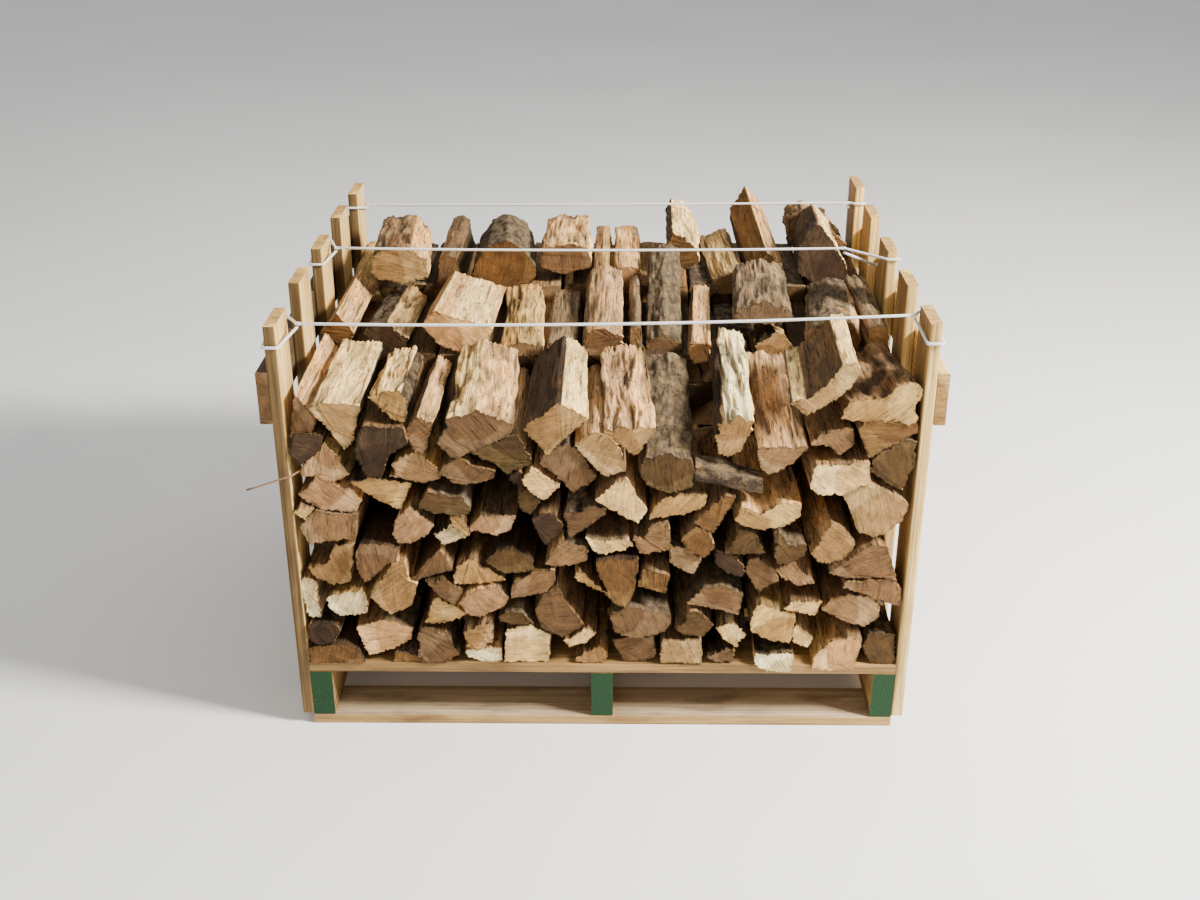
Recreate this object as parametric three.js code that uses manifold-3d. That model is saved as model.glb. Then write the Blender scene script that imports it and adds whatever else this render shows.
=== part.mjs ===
// A pallet rack of split firewood: a three-stringer pallet with five posts nailed to each side, a rail
// along the outside of each row of posts, three twine ties across the top, and three rows of splits.
// Millimetres, +Z up, front towards -Y. The origin is on the ground under the middle of the object.

import * as THREE from "three";
import { mergeVertices } from "three/addons/utils/BufferGeometryUtils.js";
import Module from "manifold-3d";

const wasm = await Module();
wasm.setup();

// Driving dimensions

const WIDTH = 1016; // over the outer stringers
const BOARD_THICK = 19; // sawn 1x lumber
const BOARD_WIDE = 89; // 1x4: posts, rails and bottom boards
const DECK_WIDE = 140; // 1x6: top deck boards
const STRINGER_WIDE = 38; // 2x4 on edge
const STRINGER_HIGH = 89;
const POST_PITCH = 197;
const POST_COUNT = 5;
const DEPTH = (POST_COUNT - 1) * POST_PITCH + BOARD_WIDE;
const BOTTOM_BOARDS = 3;
const DECK_BOARDS = 5;
const POST_FOOT = 22; // the posts stop just above the bottom boards
const POST_TOPS = { left: [746, 750, 747, 747, 739], right: [753, 748, 745, 750, 755] };
const RAIL_FOOT = { left: 580, right: 582 };
const GAP = 0.3; // between pieces that touch
const BED_GAP = 0.9; // between a loose split and the hollow it lies in
const TWINE = 5;

const STRINGER_FOOT = BOARD_THICK + GAP;
const DECK_FOOT = STRINGER_FOOT + STRINGER_HIGH + GAP;
const DECK_TOP = DECK_FOOT + BOARD_THICK;
const POST_IN = WIDTH / 2 + GAP; // inner face of a post, from the middle
const POST_OUT = POST_IN + BOARD_THICK;

// Finishes

const finish = (color, roughness = 0.85) => ({ color, roughness, metalness: 0 });
const PINE = finish(0xd9bd87, 0.75);
const GREY_PINE = finish(0xb79a6c, 0.85);
const PINK_WOOD = finish(0xc79c78);
const YELLOW_WOOD = finish(0xd3b078);
const BROWN_WOOD = finish(0x8a6238);
const BARK = finish(0x6a5a4b, 0.95);
const WHITE_TWINE = finish(0xe9e9ea, 0.5);

// Everything is modelled with the fronts of the posts at y = 0, and centred at the end.
const model = new THREE.Group();

function add(name, geometry, look, place = [0, 0, 0]) {
  const mesh = new THREE.Mesh(geometry, new THREE.MeshStandardMaterial(look));
  mesh.name = name;
  mesh.position.set(...place);
  model.add(mesh);
  return mesh;
}

// A sawn board from its lowest corner.
function board(name, corner, size, look = PINE) {
  const place = corner.map((low, axis) => low + size[axis] / 2);
  return add(name, new THREE.BoxGeometry(...size), look, place);
}

// The triangles of a loft: rings of points, each with the same count, between two caps.
// A cap is a list of triangles on the first ring, facing away from the second.
function loftFaces(rings, count, cap) {
  const faces = [];
  for (let s = 0; s < rings - 1; s++) {
    for (let i = 0; i < count; i++) {
      const [a, b] = [s * count + i, s * count + ((i + 1) % count)];
      faces.push(a, b + count, b, a, a + count, b + count);
    }
  }
  const last = (rings - 1) * count;
  for (const [a, b, c] of cap) {
    faces.push(a, b, c, last + c, last + b, last + a);
  }
  return faces;
}

// A cap for a convex ring.
const fan = (count) => Array.from({ length: count - 2 }, (_, i) => [0, i + 1, i + 2]);

// Pallet

function pallet() {
  const stringers = { left: -WIDTH / 2, middle: -STRINGER_WIDE / 2, right: WIDTH / 2 - STRINGER_WIDE };
  for (const [side, x] of Object.entries(stringers)) {
    board(`stringer_${side}`, [x, 0, STRINGER_FOOT], [STRINGER_WIDE, DEPTH, STRINGER_HIGH]);
  }
  const layer = (prefix, count, wide, foot, look) => {
    const pitch = (DEPTH - wide) / (count - 1);
    for (let i = 0; i < count; i++) {
      board(`${prefix}_${i + 1}`, [-WIDTH / 2, i * pitch, foot], [WIDTH, wide, BOARD_THICK], look);
    }
  };
  layer("bottom_board", BOTTOM_BOARDS, BOARD_WIDE, 0, GREY_PINE);
  layer("deck_board", DECK_BOARDS, DECK_WIDE, DECK_FOOT, PINE);
}

// Posts and side rails

function sides() {
  for (const [side, sign] of [["left", -1], ["right", 1]]) {
    const inwards = (inner, thick) => (sign > 0 ? inner : -inner - thick);
    POST_TOPS[side].forEach((top, i) => {
      const corner = [inwards(POST_IN, BOARD_THICK), i * POST_PITCH, POST_FOOT];
      board(`post_${side}_${i + 1}`, corner, [BOARD_THICK, BOARD_WIDE, top - POST_FOOT]);
    });
    const corner = [inwards(POST_OUT + GAP, BOARD_THICK), 0, RAIL_FOOT[side]];
    board(`rail_${side}`, corner, [BOARD_THICK, DEPTH, BOARD_WIDE], sign < 0 ? GREY_PINE : PINE);
  }
}

// Twine ties: each is one open strand that goes round its left post, across, and round its right post.
// A tie gives its two knots and the heights at which the strand passes the front and back of each post.

const OFF = TWINE / 2 + 0.4; // from a post's corner to the middle of the strand
const TWINE_SIDES = 8;

// The strand's turn round one corner of a post, as three points of a quarter circle.
function turn([x, y], [sideways, along], z) {
  return [0, 45, 90].map((degrees) => {
    const angle = THREE.MathUtils.degToRad(degrees);
    return [x + sideways * OFF * Math.cos(angle), y + along * OFF * Math.sin(angle), z];
  });
}

// Round one post, from its inner face past its front, its outer face and its back.
function roundPost(sign, front, z) {
  const [inner, outer] = [sign * POST_IN, sign * POST_OUT];
  const back = front + BOARD_WIDE;
  return [
    ...turn([inner, front], [-sign, -1], z.front),
    ...turn([outer, front], [sign, -1], z.front).reverse(),
    ...turn([outer, back], [sign, 1], z.back),
    ...turn([inner, back], [-sign, 1], z.back).reverse(),
  ];
}

// The points between two knots, on a shallow sag.
function span(from, to, sag, steps = 12) {
  return Array.from({ length: steps - 1 }, (_, i) => {
    const t = (i + 1) / steps;
    const point = from.map((v, axis) => v + (to[axis] - v) * t);
    point[2] -= 4 * sag * t * (1 - t);
    return point;
  });
}

// A round strand through the given points, closed at both ends.
function strandGeometry(route) {
  const points = route.map((point) => new THREE.Vector3(...point));
  const side = new THREE.Vector3(0, 0, 1);
  const positions = [];
  points.forEach((point, i) => {
    const before = points[Math.max(i - 1, 0)];
    const after = points[Math.min(i + 1, points.length - 1)];
    const ahead = after.clone().sub(before).normalize();
    side.addScaledVector(ahead, -side.dot(ahead)).normalize();
    const across = side.clone().cross(ahead);
    for (let k = 0; k < TWINE_SIDES; k++) {
      const angle = (k / TWINE_SIDES) * 2 * Math.PI;
      const rim = point.clone();
      rim.addScaledVector(side, (Math.cos(angle) * TWINE) / 2);
      rim.addScaledVector(across, (Math.sin(angle) * TWINE) / 2);
      positions.push(...rim.toArray());
    }
  });
  const geometry = new THREE.BufferGeometry();
  geometry.setAttribute("position", new THREE.Float32BufferAttribute(positions, 3));
  geometry.setIndex(loftFaces(points.length, TWINE_SIDES, fan(TWINE_SIDES)));
  return geometry;
}

function tie(name, front, left, right, sag) {
  const below = ({ knot: [x, y, z], drop }) => [x, y, z - drop];
  const rightPost = roundPost(1, front, right);
  const route = [
    below(left),
    ...roundPost(-1, front, left),
    left.knot,
    ...span(left.knot, right.knot, sag),
    right.knot,
    ...(right.frontFirst ? rightPost : rightPost.reverse()),
    below(right),
  ];
  return add(name, strandGeometry(route), WHITE_TWINE);
}

function ties() {
  const postFront = (i) => (i - 1) * POST_PITCH;
  tie(
    "tie_front",
    postFront(1),
    { knot: [-488, 66, 727], front: 712, back: 729, drop: 6 },
    { knot: [500, 80, 739], front: 722, back: 740, drop: 6 },
    8,
  );
  tie(
    "tie_middle",
    postFront(3),
    { knot: [-492, 449, 732], front: 719, back: 734, drop: 6 },
    { knot: [437, 440, 736], front: 731, back: 690, drop: 8, frontFirst: true },
    4,
  );
  tie(
    "tie_back",
    postFront(5),
    { knot: [-500, 868, 694], front: 711, back: 696, drop: 6 },
    { knot: [497, 792, 722], front: 722, back: 700, drop: 9, frontFirst: true },
    1,
  );
}

// Splits

// A split is a length of wood whose front end has the given outline. Its back end is that outline moved
// by drift and scaled by shrink, and between them the section swells and turns a little, as cleft wood does.
const STATIONS = 5;
const SWELL = 0.03;

// The outline with every side moved out by the same distance. It runs counter-clockwise.
function outset(outline, by) {
  const out = ([ax, az], [bx, bz]) => {
    const long = Math.hypot(bx - ax, bz - az);
    return [(bz - az) / long, (ax - bx) / long];
  };
  return outline.map((corner, i) => {
    const [nx, nz] = out(outline.at(i - 1), corner);
    const [mx, mz] = out(corner, outline[(i + 1) % outline.length]);
    const mitre = by / (1 + nx * mx + nz * mz);
    return [corner[0] + (nx + mx) * mitre, corner[1] + (nz + mz) * mitre];
  });
}

function counterClockwise(outline) {
  const points = outline.map(([x, z]) => new THREE.Vector2(x, z));
  return THREE.ShapeUtils.isClockWise(points) ? [...outline].reverse() : outline;
}

function splitGeometry(shape, grow = 0) {
  const { front, length, outline, drift = [0, 0], shrink = 0.94, swell = SWELL } = shape;
  const ring = outset(counterClockwise(outline), grow);
  const count = ring.length;
  const middle = [0, 1].map((axis) => ring.reduce((sum, p) => sum + p[axis], 0) / count);
  const positions = [];
  for (let s = 0; s < STATIONS; s++) {
    const t = s / (STATIONS - 1);
    const y = front - grow + (length + 2 * grow) * t;
    ring.forEach(([x, z], i) => {
      const scale = 1 + (shrink - 1) * t + swell * Math.sin(Math.PI * t) * Math.sin(2.4 * i + length);
      positions.push(middle[0] + (x - middle[0]) * scale + drift[0] * t);
      positions.push(y);
      positions.push(middle[1] + (z - middle[1]) * scale + drift[1] * t);
    });
  }
  const cap = THREE.ShapeUtils.triangulateShape(ring.map(([x, z]) => new THREE.Vector2(x, z)), []);
  const geometry = new THREE.BufferGeometry();
  geometry.setAttribute("position", new THREE.Float32BufferAttribute(positions, 3));
  geometry.setIndex(loftFaces(STATIONS, count, cap));
  return geometry;
}

// The three rows, front to back. Each is a block of splits lying front to back, with its uneven top.
const ROW_SIDE = POST_IN - GAP - 3;
const ROWS = {
  stack_front: { from: -4, to: 292, left: 548, right: 548, top: [] },
  stack_middle: {
    from: 296,
    to: 586,
    left: 582,
    right: 640,
    top: [[-104, 582], [-100, 606], [-48, 606], [-44, 582], [44, 582], [48, 636], [68, 638], [72, 582],
      [462, 582], [466, 640]],
  },
  stack_back: {
    from: 590,
    to: DEPTH,
    left: 612,
    right: 612,
    top: [[-330, 612], [-324, 670], [-286, 670], [-278, 612], [-24, 608], [-20, 648], [10, 648], [14, 618],
      [18, 648], [70, 648], [76, 612]],
  },
};

// The splits that lie loose on top of the rows. Outlines are x and z of the front end.
const LOOSE = {
  split_front_1: {
    look: PINK_WOOD, front: 6, length: 280, drift: [-2, 0],
    outline: [[-502, 556], [-490, 630], [-476, 616], [-456, 582], [-466, 566], [-498, 546]],
  },
  split_front_2: {
    look: YELLOW_WOOD, front: 0, length: 286, drift: [-2, -2],
    outline: [[-466, 605], [-459, 622], [-426, 617], [-385, 613], [-389, 596], [-405, 544], [-415, 535],
      [-427, 552], [-441, 576]],
  },
  split_front_3: {
    look: YELLOW_WOOD, front: 4, length: 284, drift: [-12, -36],
    outline: [[-370, 625], [-358, 635], [-320, 636], [-308, 618], [-318, 580], [-334, 588]],
  },
  split_front_4: {
    look: PINK_WOOD, front: 2, length: 278, drift: [4, -6],
    outline: [[-296, 597], [-270, 582], [-283, 542], [-291, 527], [-302, 530], [-312, 557], [-315, 568]],
  },
  split_front_5: {
    look: PINK_WOOD, front: -2, length: 292, drift: [-12, 12],
    outline: [[-262, 545], [-241, 522], [-225, 525], [-166, 553], [-141, 570], [-139, 581], [-172, 599],
      [-200, 606], [-244, 590]],
  },
  split_front_6: {
    look: BROWN_WOOD, front: -4, length: 292, drift: [0, 6],
    outline: [[-125, 575], [-73, 619], [-60, 617], [-22, 593], [-88, 528]],
  },
  split_front_7: {
    look: PINK_WOOD, front: 0, length: 288, drift: [-10, 30],
    outline: [[4, 570], [52, 577], [88, 574], [60, 532], [50, 527]],
  },
  split_front_8: {
    look: BARK, front: -2, length: 292, drift: [2, 62],
    outline: [[60, 500], [70, 520], [112, 529], [146, 521], [150, 497], [146, 472], [112, 460], [74, 472]],
  },
  split_front_9: {
    look: YELLOW_WOOD, front: 2, length: 288, drift: [4, 42],
    outline: [[182, 562], [194, 590], [224, 596], [241, 588], [236, 562], [221, 534], [206, 525], [188, 531]],
  },
  split_front_10: {
    look: PINK_WOOD, front: 0, length: 282, drift: [0, 54],
    outline: [[249, 542], [334, 540], [307, 512], [272, 493], [258, 503]],
  },
  split_front_11: {
    look: YELLOW_WOOD, front: -10, length: 215, drift: [8, 4], shrink: 0.97,
    outline: [[297, 627], [320, 633], [346, 649], [364, 670], [373, 691], [397, 693], [406, 676], [393, 655],
      [375, 636], [350, 618], [324, 604]],
  },
  split_front_12: {
    look: YELLOW_WOOD, front: 0, length: 288, drift: [0, -40], shrink: 0.92,
    outline: [[381, 599], [392, 619], [453, 635], [465, 649], [497, 656], [503, 647], [500, 591], [488, 580],
      [470, 588], [437, 585], [384, 590]],
  },
  split_middle_1: {
    look: PINK_WOOD, front: 298, length: 285, drift: [-2, -12],
    outline: [[-501, 622], [-471, 661], [-441, 622], [-462, 590]],
  },
  split_middle_2: {
    look: BARK, front: 300, length: 280, drift: [4, -22],
    outline: [[-430, 600], [-420, 632], [-385, 642], [-346, 612], [-362, 577], [-410, 568]],
  },
  split_middle_3: {
    look: PINK_WOOD, front: 296, length: 288, drift: [6, -20],
    outline: [[-322, 640], [-298, 668], [-268, 655], [-195, 632], [-205, 604], [-248, 584], [-292, 602]],
  },
  split_middle_4: {
    look: YELLOW_WOOD, front: 300, length: 285, drift: [-10, 14],
    outline: [[-183, 594], [-150, 606], [-108, 599], [-112, 560], [-164, 552]],
  },
  split_middle_5: {
    look: PINK_WOOD, front: 300, length: 285, drift: [2, 28],
    outline: [[-38, 600], [-30, 622], [0, 632], [34, 618], [34, 585], [-20, 572]],
  },
  split_middle_6: {
    look: BARK, front: 330, length: 300, drift: [8, 78],
    outline: [[76, 566], [78, 594], [108, 612], [138, 596], [141, 566], [108, 552]],
  },
  split_middle_7: {
    look: PINK_WOOD, front: 298, length: 282, drift: [16, 14],
    outline: [[149, 586], [156, 606], [190, 600], [186, 572], [162, 566]],
  },
  split_middle_8: {
    look: BARK, front: 345, length: 245, drift: [12, 4],
    outline: [[232, 628], [240, 655], [290, 664], [330, 655], [342, 630], [300, 626], [250, 625]],
  },
  split_middle_9: {
    look: YELLOW_WOOD, front: 294, length: 285, drift: [0, -62],
    outline: [[264, 574], [266, 602], [306, 632], [332, 607], [336, 577], [300, 562]],
  },
  split_middle_10: {
    look: BARK, front: 298, length: 280, drift: [30, -10],
    outline: [[358, 598], [362, 630], [398, 648], [438, 640], [458, 618], [450, 588], [402, 576]],
  },
  split_back_1: {
    look: BROWN_WOOD, front: 505, length: 250, drift: [-16, -4], shrink: 0.9,
    outline: [[-438, 655], [-440, 700], [-415, 716], [-365, 712], [-338, 690], [-332, 656], [-380, 643]],
  },
  split_back_2: {
    look: BARK, front: 592, length: 285, drift: [-14, -28], shrink: 0.96,
    outline: [[-262, 620], [-252, 655], [-226, 692], [-190, 704], [-158, 688], [-134, 650], [-138, 620],
      [-165, 605], [-235, 603]],
  },
  split_back_3: {
    look: PINK_WOOD, front: 608, length: 270, drift: [0, -14],
    outline: [[-124, 642], [-126, 678], [-88, 690], [-32, 684], [-28, 645], [-80, 630]],
  },
  split_back_4: {
    look: YELLOW_WOOD, front: 650, length: 232, drift: [4, 6], shrink: 0.98,
    outline: [[126, 642], [122, 676], [132, 700], [158, 692], [180, 668], [188, 642], [160, 626]],
  },
  split_back_5: {
    look: YELLOW_WOOD, front: 596, length: 280, drift: [-18, 0],
    outline: [[206, 598], [210, 624], [268, 642], [282, 628], [280, 606], [240, 592]],
  },
  split_back_6: {
    look: PINK_WOOD, front: 640, length: 242, drift: [-28, 71],
    outline: [[288, 586], [290, 616], [319, 664], [352, 634], [366, 600], [330, 578]],
  },
  split_back_7: {
    look: BARK, front: 592, length: 165, drift: [6, 0],
    outline: [[374, 640], [374, 692], [391, 720], [413, 736], [448, 692], [472, 641], [488, 600], [442, 604],
      [402, 622]],
  },
  split_back_8: {
    look: BROWN_WOOD, front: 760, length: 122, drift: [4, -8],
    outline: [[374, 640], [370, 694], [400, 712], [455, 688], [496, 640], [440, 628]],
  },
};

// The stub of a branch that forks off the bark-covered split and points to the right along the front.
const BRANCH = {
  look: BARK, from: 152, to: 262, y: 20, z: 497, radiusY: 29, radiusZ: 22, fall: 26, shrink: 0.86, sides: 9,
};

function branchGeometry({ from, to, y, z, radiusY, radiusZ, fall, shrink, sides }, grow = 0) {
  const outline = Array.from({ length: sides }, (_, i) => {
    const angle = (i / sides) * 2 * Math.PI;
    return [Math.cos(angle) * radiusY, Math.sin(angle) * radiusZ];
  });
  const geometry = splitGeometry({ front: 0, length: to - from, outline, drift: [0, -fall], shrink }, grow);
  return geometry.rotateZ(-Math.PI / 2).translate(from, y, z);
}

function toSolid(geometry) {
  const bare = mergeVertices(geometry, 1e-4);
  const vertProperties = new Float32Array(bare.attributes.position.array);
  return new wasm.Manifold(new wasm.Mesh({ numProp: 3, vertProperties, triVerts: Uint32Array.from(bare.index.array) }));
}

function toGeometry(solid) {
  const { vertProperties, triVerts } = solid.getMesh();
  const geometry = new THREE.BufferGeometry();
  geometry.setAttribute("position", new THREE.Float32BufferAttribute(Array.from(vertProperties), 3));
  geometry.setIndex(Array.from(triVerts));
  return geometry;
}

// A row is an extruded block, hollowed where the loose splits are bedded in its top.
function rowGeometry({ from, to, left, right, top }, bedded) {
  const outline = [
    [-ROW_SIDE, DECK_TOP + GAP],
    [ROW_SIDE, DECK_TOP + GAP],
    [ROW_SIDE, right],
    ...[...top].reverse(),
    [-ROW_SIDE, left],
  ];
  let solid = toSolid(splitGeometry({ front: from, length: to - from, outline, shrink: 1, swell: 0 }));
  for (const piece of bedded) {
    solid = solid.subtract(piece);
  }
  return toGeometry(solid);
}

function wood() {
  const bedded = [];
  for (const [name, shape] of Object.entries(LOOSE)) {
    add(name, splitGeometry(shape), shape.look);
    bedded.push(toSolid(splitGeometry(shape, BED_GAP)));
  }
  add("split_front_8_branch", branchGeometry(BRANCH), BRANCH.look);
  bedded.push(toSolid(branchGeometry(BRANCH, BED_GAP)));
  for (const [name, row] of Object.entries(ROWS)) {
    add(name, rowGeometry(row, bedded), BROWN_WOOD);
  }
}

pallet();
sides();
ties();
wood();

const box = new THREE.Box3().setFromObject(model);
const centre = box.getCenter(new THREE.Vector3());
model.position.set(-centre.x, -centre.y, -box.min.z);

export default model;
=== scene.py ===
"""The looks of a pallet rack of split firewood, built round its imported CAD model."""

import math

import bpy
import numpy as np
from mathutils import Matrix, Vector
from mathutils.bvhtree import BVHTree


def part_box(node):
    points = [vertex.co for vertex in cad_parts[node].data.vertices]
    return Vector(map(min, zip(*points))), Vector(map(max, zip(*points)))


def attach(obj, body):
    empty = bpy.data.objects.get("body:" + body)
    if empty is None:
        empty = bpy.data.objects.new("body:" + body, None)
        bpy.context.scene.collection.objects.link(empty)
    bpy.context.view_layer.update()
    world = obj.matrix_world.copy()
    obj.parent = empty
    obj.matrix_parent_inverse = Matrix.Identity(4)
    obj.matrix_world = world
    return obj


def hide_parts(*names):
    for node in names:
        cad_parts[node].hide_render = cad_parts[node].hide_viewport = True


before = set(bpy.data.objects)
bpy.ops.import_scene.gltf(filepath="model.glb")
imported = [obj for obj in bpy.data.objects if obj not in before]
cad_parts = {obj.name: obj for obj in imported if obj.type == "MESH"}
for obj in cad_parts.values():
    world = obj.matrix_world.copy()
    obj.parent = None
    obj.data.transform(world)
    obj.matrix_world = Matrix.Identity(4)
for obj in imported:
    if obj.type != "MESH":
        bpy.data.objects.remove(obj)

MM = 0.001
NODES = sorted(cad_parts)
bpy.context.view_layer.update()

# The front edge and the top of the deck, which the rows of splits are placed from.
DECK_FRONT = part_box("deck_board_1")[0].y
DECK_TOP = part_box("deck_board_1")[1].z


# Camera, at the photo's viewing angle. Lengths of the lens are in millimetres and turns in degrees.

LENS = 43.52
SENSOR = 36
CAMERA_PLACE = (0.0216, -2.5447, 1.538)
LOOKS_DOWN = 25.4
LOOKS_LEFT = 0.666
LEANS = -0.082


def add_camera():
    data = bpy.data.cameras.new("camera")
    data.lens = LENS
    data.sensor_width = SENSOR
    camera = bpy.data.objects.new("camera", data)
    bpy.context.scene.collection.objects.link(camera)
    turn = Matrix.Rotation(math.radians(LOOKS_LEFT), 4, "Z")
    tilt = Matrix.Rotation(math.radians(90 - LOOKS_DOWN), 4, "X")
    roll = Matrix.Rotation(math.radians(LEANS), 4, "Z")
    camera.matrix_world = Matrix.Translation(CAMERA_PLACE) @ turn @ tilt @ roll
    bpy.context.scene.camera = camera


# Materials


def linear(rgb):
    """A colour out of 255, as the linear values that shaders and attributes take."""
    share = np.array(rgb, float) / 255
    return np.where(share <= 0.04045, share / 12.92, ((share + 0.055) / 1.055) ** 2.4)


def rgba(rgb):
    return (*linear(rgb), 1.0)


class Shader:
    """A node material that is put together with short calls."""

    def __init__(self, name, roughness):
        self.material = bpy.data.materials.new(name)
        self.material.use_nodes = True
        self.tree = self.material.node_tree
        self.tree.nodes.clear()
        output = self.tree.nodes.new("ShaderNodeOutputMaterial")
        self.surface = self.node("BsdfPrincipled", {"Roughness": roughness})
        self.surface.inputs["Specular IOR Level"].default_value = 0.25
        self.tree.links.new(self.surface.outputs[0], output.inputs["Surface"])

    def node(self, kind, inputs=None, **settings):
        made = self.tree.nodes.new("ShaderNode" + kind)
        for name, value in settings.items():
            setattr(made, name, value)
        for name, value in (inputs or {}).items():
            self.put(made.inputs[name], value)
        return made

    def put(self, socket, value):
        if isinstance(value, bpy.types.NodeSocket):
            self.tree.links.new(value, socket)
        else:
            socket.default_value = value

    def attribute(self, name):
        return self.node("Attribute", attribute_name=name)

    def stretched(self, vector, across, along):
        """The vector scaled across the grain and along it."""
        return self.node(
            "VectorMath", {0: vector, 1: (across, along, across)}, operation="MULTIPLY"
        ).outputs[0]

    def noise(self, vector, scale, detail=3.0, roughness=0.55, distortion=0.0):
        return self.node(
            "TexNoise",
            {
                "Vector": vector,
                "Scale": scale,
                "Detail": detail,
                "Roughness": roughness,
                "Distortion": distortion,
            },
        ).outputs["Fac"]

    def remap(self, value, low, high, to_low=0.0, to_high=1.0):
        return self.node(
            "MapRange", {0: value, 1: low, 2: high, 3: to_low, 4: to_high}, clamp=True
        ).outputs[0]

    def math(self, operation, a, b=0.0):
        return self.node("Math", {0: a, 1: b}, operation=operation).outputs[0]

    def mix(self, amount, a, b, blend="MIX"):
        made = self.node("Mix", data_type="RGBA", blend_type=blend)
        self.put(made.inputs[0], amount)
        self.put(made.inputs[6], a)
        self.put(made.inputs[7], b)
        return made.outputs[2]

    def shade(self, colour, factor):
        """The colour times a grey factor."""
        grey = self.node("CombineXYZ", {0: factor, 1: factor, 2: factor}).outputs[0]
        return self.mix(1.0, colour, grey, "MULTIPLY")

    def bump(self, height, strength, depth, under=None):
        made = self.node("Bump", {"Strength": strength, "Distance": depth, "Height": height})
        if under is not None:
            self.put(made.inputs["Normal"], under)
        return made.outputs[0]

    def done(self, colour, normal):
        self.put(self.surface.inputs["Base Color"], colour)
        self.put(self.surface.inputs["Normal"], normal)
        return self.material


def cleft_material():
    """A face split along the grain: long fibres, torn strands, dark pits, and warm and dull patches."""
    s = Shader("cleft_wood", 0.88)
    tint = s.attribute("tint").outputs["Color"]
    grain = s.attribute("grain").outputs["Vector"]
    fibres = s.noise(s.stretched(grain, 1, 0.06), 420, 5, 0.7, 0.5)
    strands = s.noise(s.stretched(grain, 1, 0.09), 120, 4, 0.65, 1.0)
    patches = s.noise(s.stretched(grain, 1, 0.35), 26, 3, 0.6)
    colour = s.shade(tint, s.remap(strands, 0.3, 0.68, 0.58, 1.3))
    colour = s.shade(colour, s.remap(fibres, 0.32, 0.68, 0.55, 1.36))
    warm = s.mix(1.0, colour, rgba((255, 226, 180)), "MULTIPLY")
    colour = s.mix(s.remap(patches, 0.5, 0.66, 0, 0.7), colour, warm)
    dull = s.mix(1.0, colour, rgba((178, 170, 156)), "MULTIPLY")
    colour = s.mix(s.remap(patches, 0.44, 0.3, 0, 0.8), colour, dull)
    cracks = s.noise(s.stretched(grain, 1, 0.04), 170, 2, 0.5, 0.6)
    colour = s.shade(colour, s.remap(cracks, 0.33, 0.4, 0.26, 1))
    pits = s.noise(s.stretched(grain, 1, 0.3), 210, 3, 0.6, 0.8)
    colour = s.shade(colour, s.remap(pits, 0.64, 0.59, 0.3, 1))
    normal = s.bump(strands, 1.0, 6 * MM)
    normal = s.bump(fibres, 0.9, 2.4 * MM, normal)
    return s.done(colour, normal)


def end_material():
    """A sawn end: torn fibres across it, mottled patches, a darker heart, faint rings and checks."""
    s = Shader("sawn_end", 0.92)
    tint = s.attribute("tint").outputs["Color"]
    grain = s.attribute("grain").outputs["Vector"]
    speckle = s.noise(grain, 700, 4, 0.75)
    blotches = s.noise(grain, 34, 5, 0.65, 0.4)
    lines = s.node("VectorMath", {0: grain, 1: (1.0, 1.0, 0.12)}, operation="MULTIPLY").outputs[0]
    saw = s.noise(lines, 300, 4, 0.7, 0.8)
    tears = s.noise(lines, 110, 5, 0.7, 1.2)
    axes = s.node("SeparateXYZ", {0: grain}).outputs
    flat = s.node("CombineXYZ", {0: axes[0], 1: 0.0, 2: axes[2]}).outputs[0]
    radius = s.node("VectorMath", {0: flat}, operation="LENGTH").outputs["Value"]
    wavy = s.math("ADD", radius, s.math("MULTIPLY", blotches, 0.02))
    rings = s.math("SINE", s.math("MULTIPLY", wavy, 1700.0))
    angle = s.math("ARCTAN2", axes[0], axes[2])
    rays = s.node("TexNoise", {"W": s.math("MULTIPLY", angle, 24.0)}, noise_dimensions="1D")
    check = s.noise(grain, 18, 1)
    colour = s.shade(tint, s.remap(blotches, 0.32, 0.68, 0.62, 1.28))
    colour = s.shade(colour, s.remap(rings, -1, 1, 0.95, 1.04))
    colour = s.shade(colour, s.remap(saw, 0.32, 0.68, 0.68, 1.26))
    colour = s.shade(colour, s.remap(tears, 0.3, 0.5, 0.66, 1.04))
    colour = s.shade(colour, s.remap(speckle, 0.34, 0.66, 0.7, 1.24))
    specks = s.noise(lines, 240, 3, 0.6)
    colour = s.shade(colour, s.remap(specks, 0.68, 0.63, 0.4, 1))
    heart = s.mix(1.0, colour, rgba((208, 194, 180)), "MULTIPLY")
    inner = s.remap(wavy, 0.075, 0.071)
    colour = s.mix(s.math("MULTIPLY", inner, 0.8), colour, heart)
    split = s.math("MULTIPLY", s.remap(rays.outputs["Fac"], 0.7, 0.73), s.remap(check, 0.5, 0.56))
    colour = s.mix(s.math("MULTIPLY", split, 0.65), colour, rgba((64, 46, 32)))
    normal = s.bump(tears, 0.8, 2.5 * MM)
    normal = s.bump(saw, 0.8, 1.5 * MM, normal)
    normal = s.bump(speckle, 0.9, 1.2 * MM, normal)
    return s.done(colour, normal)


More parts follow.
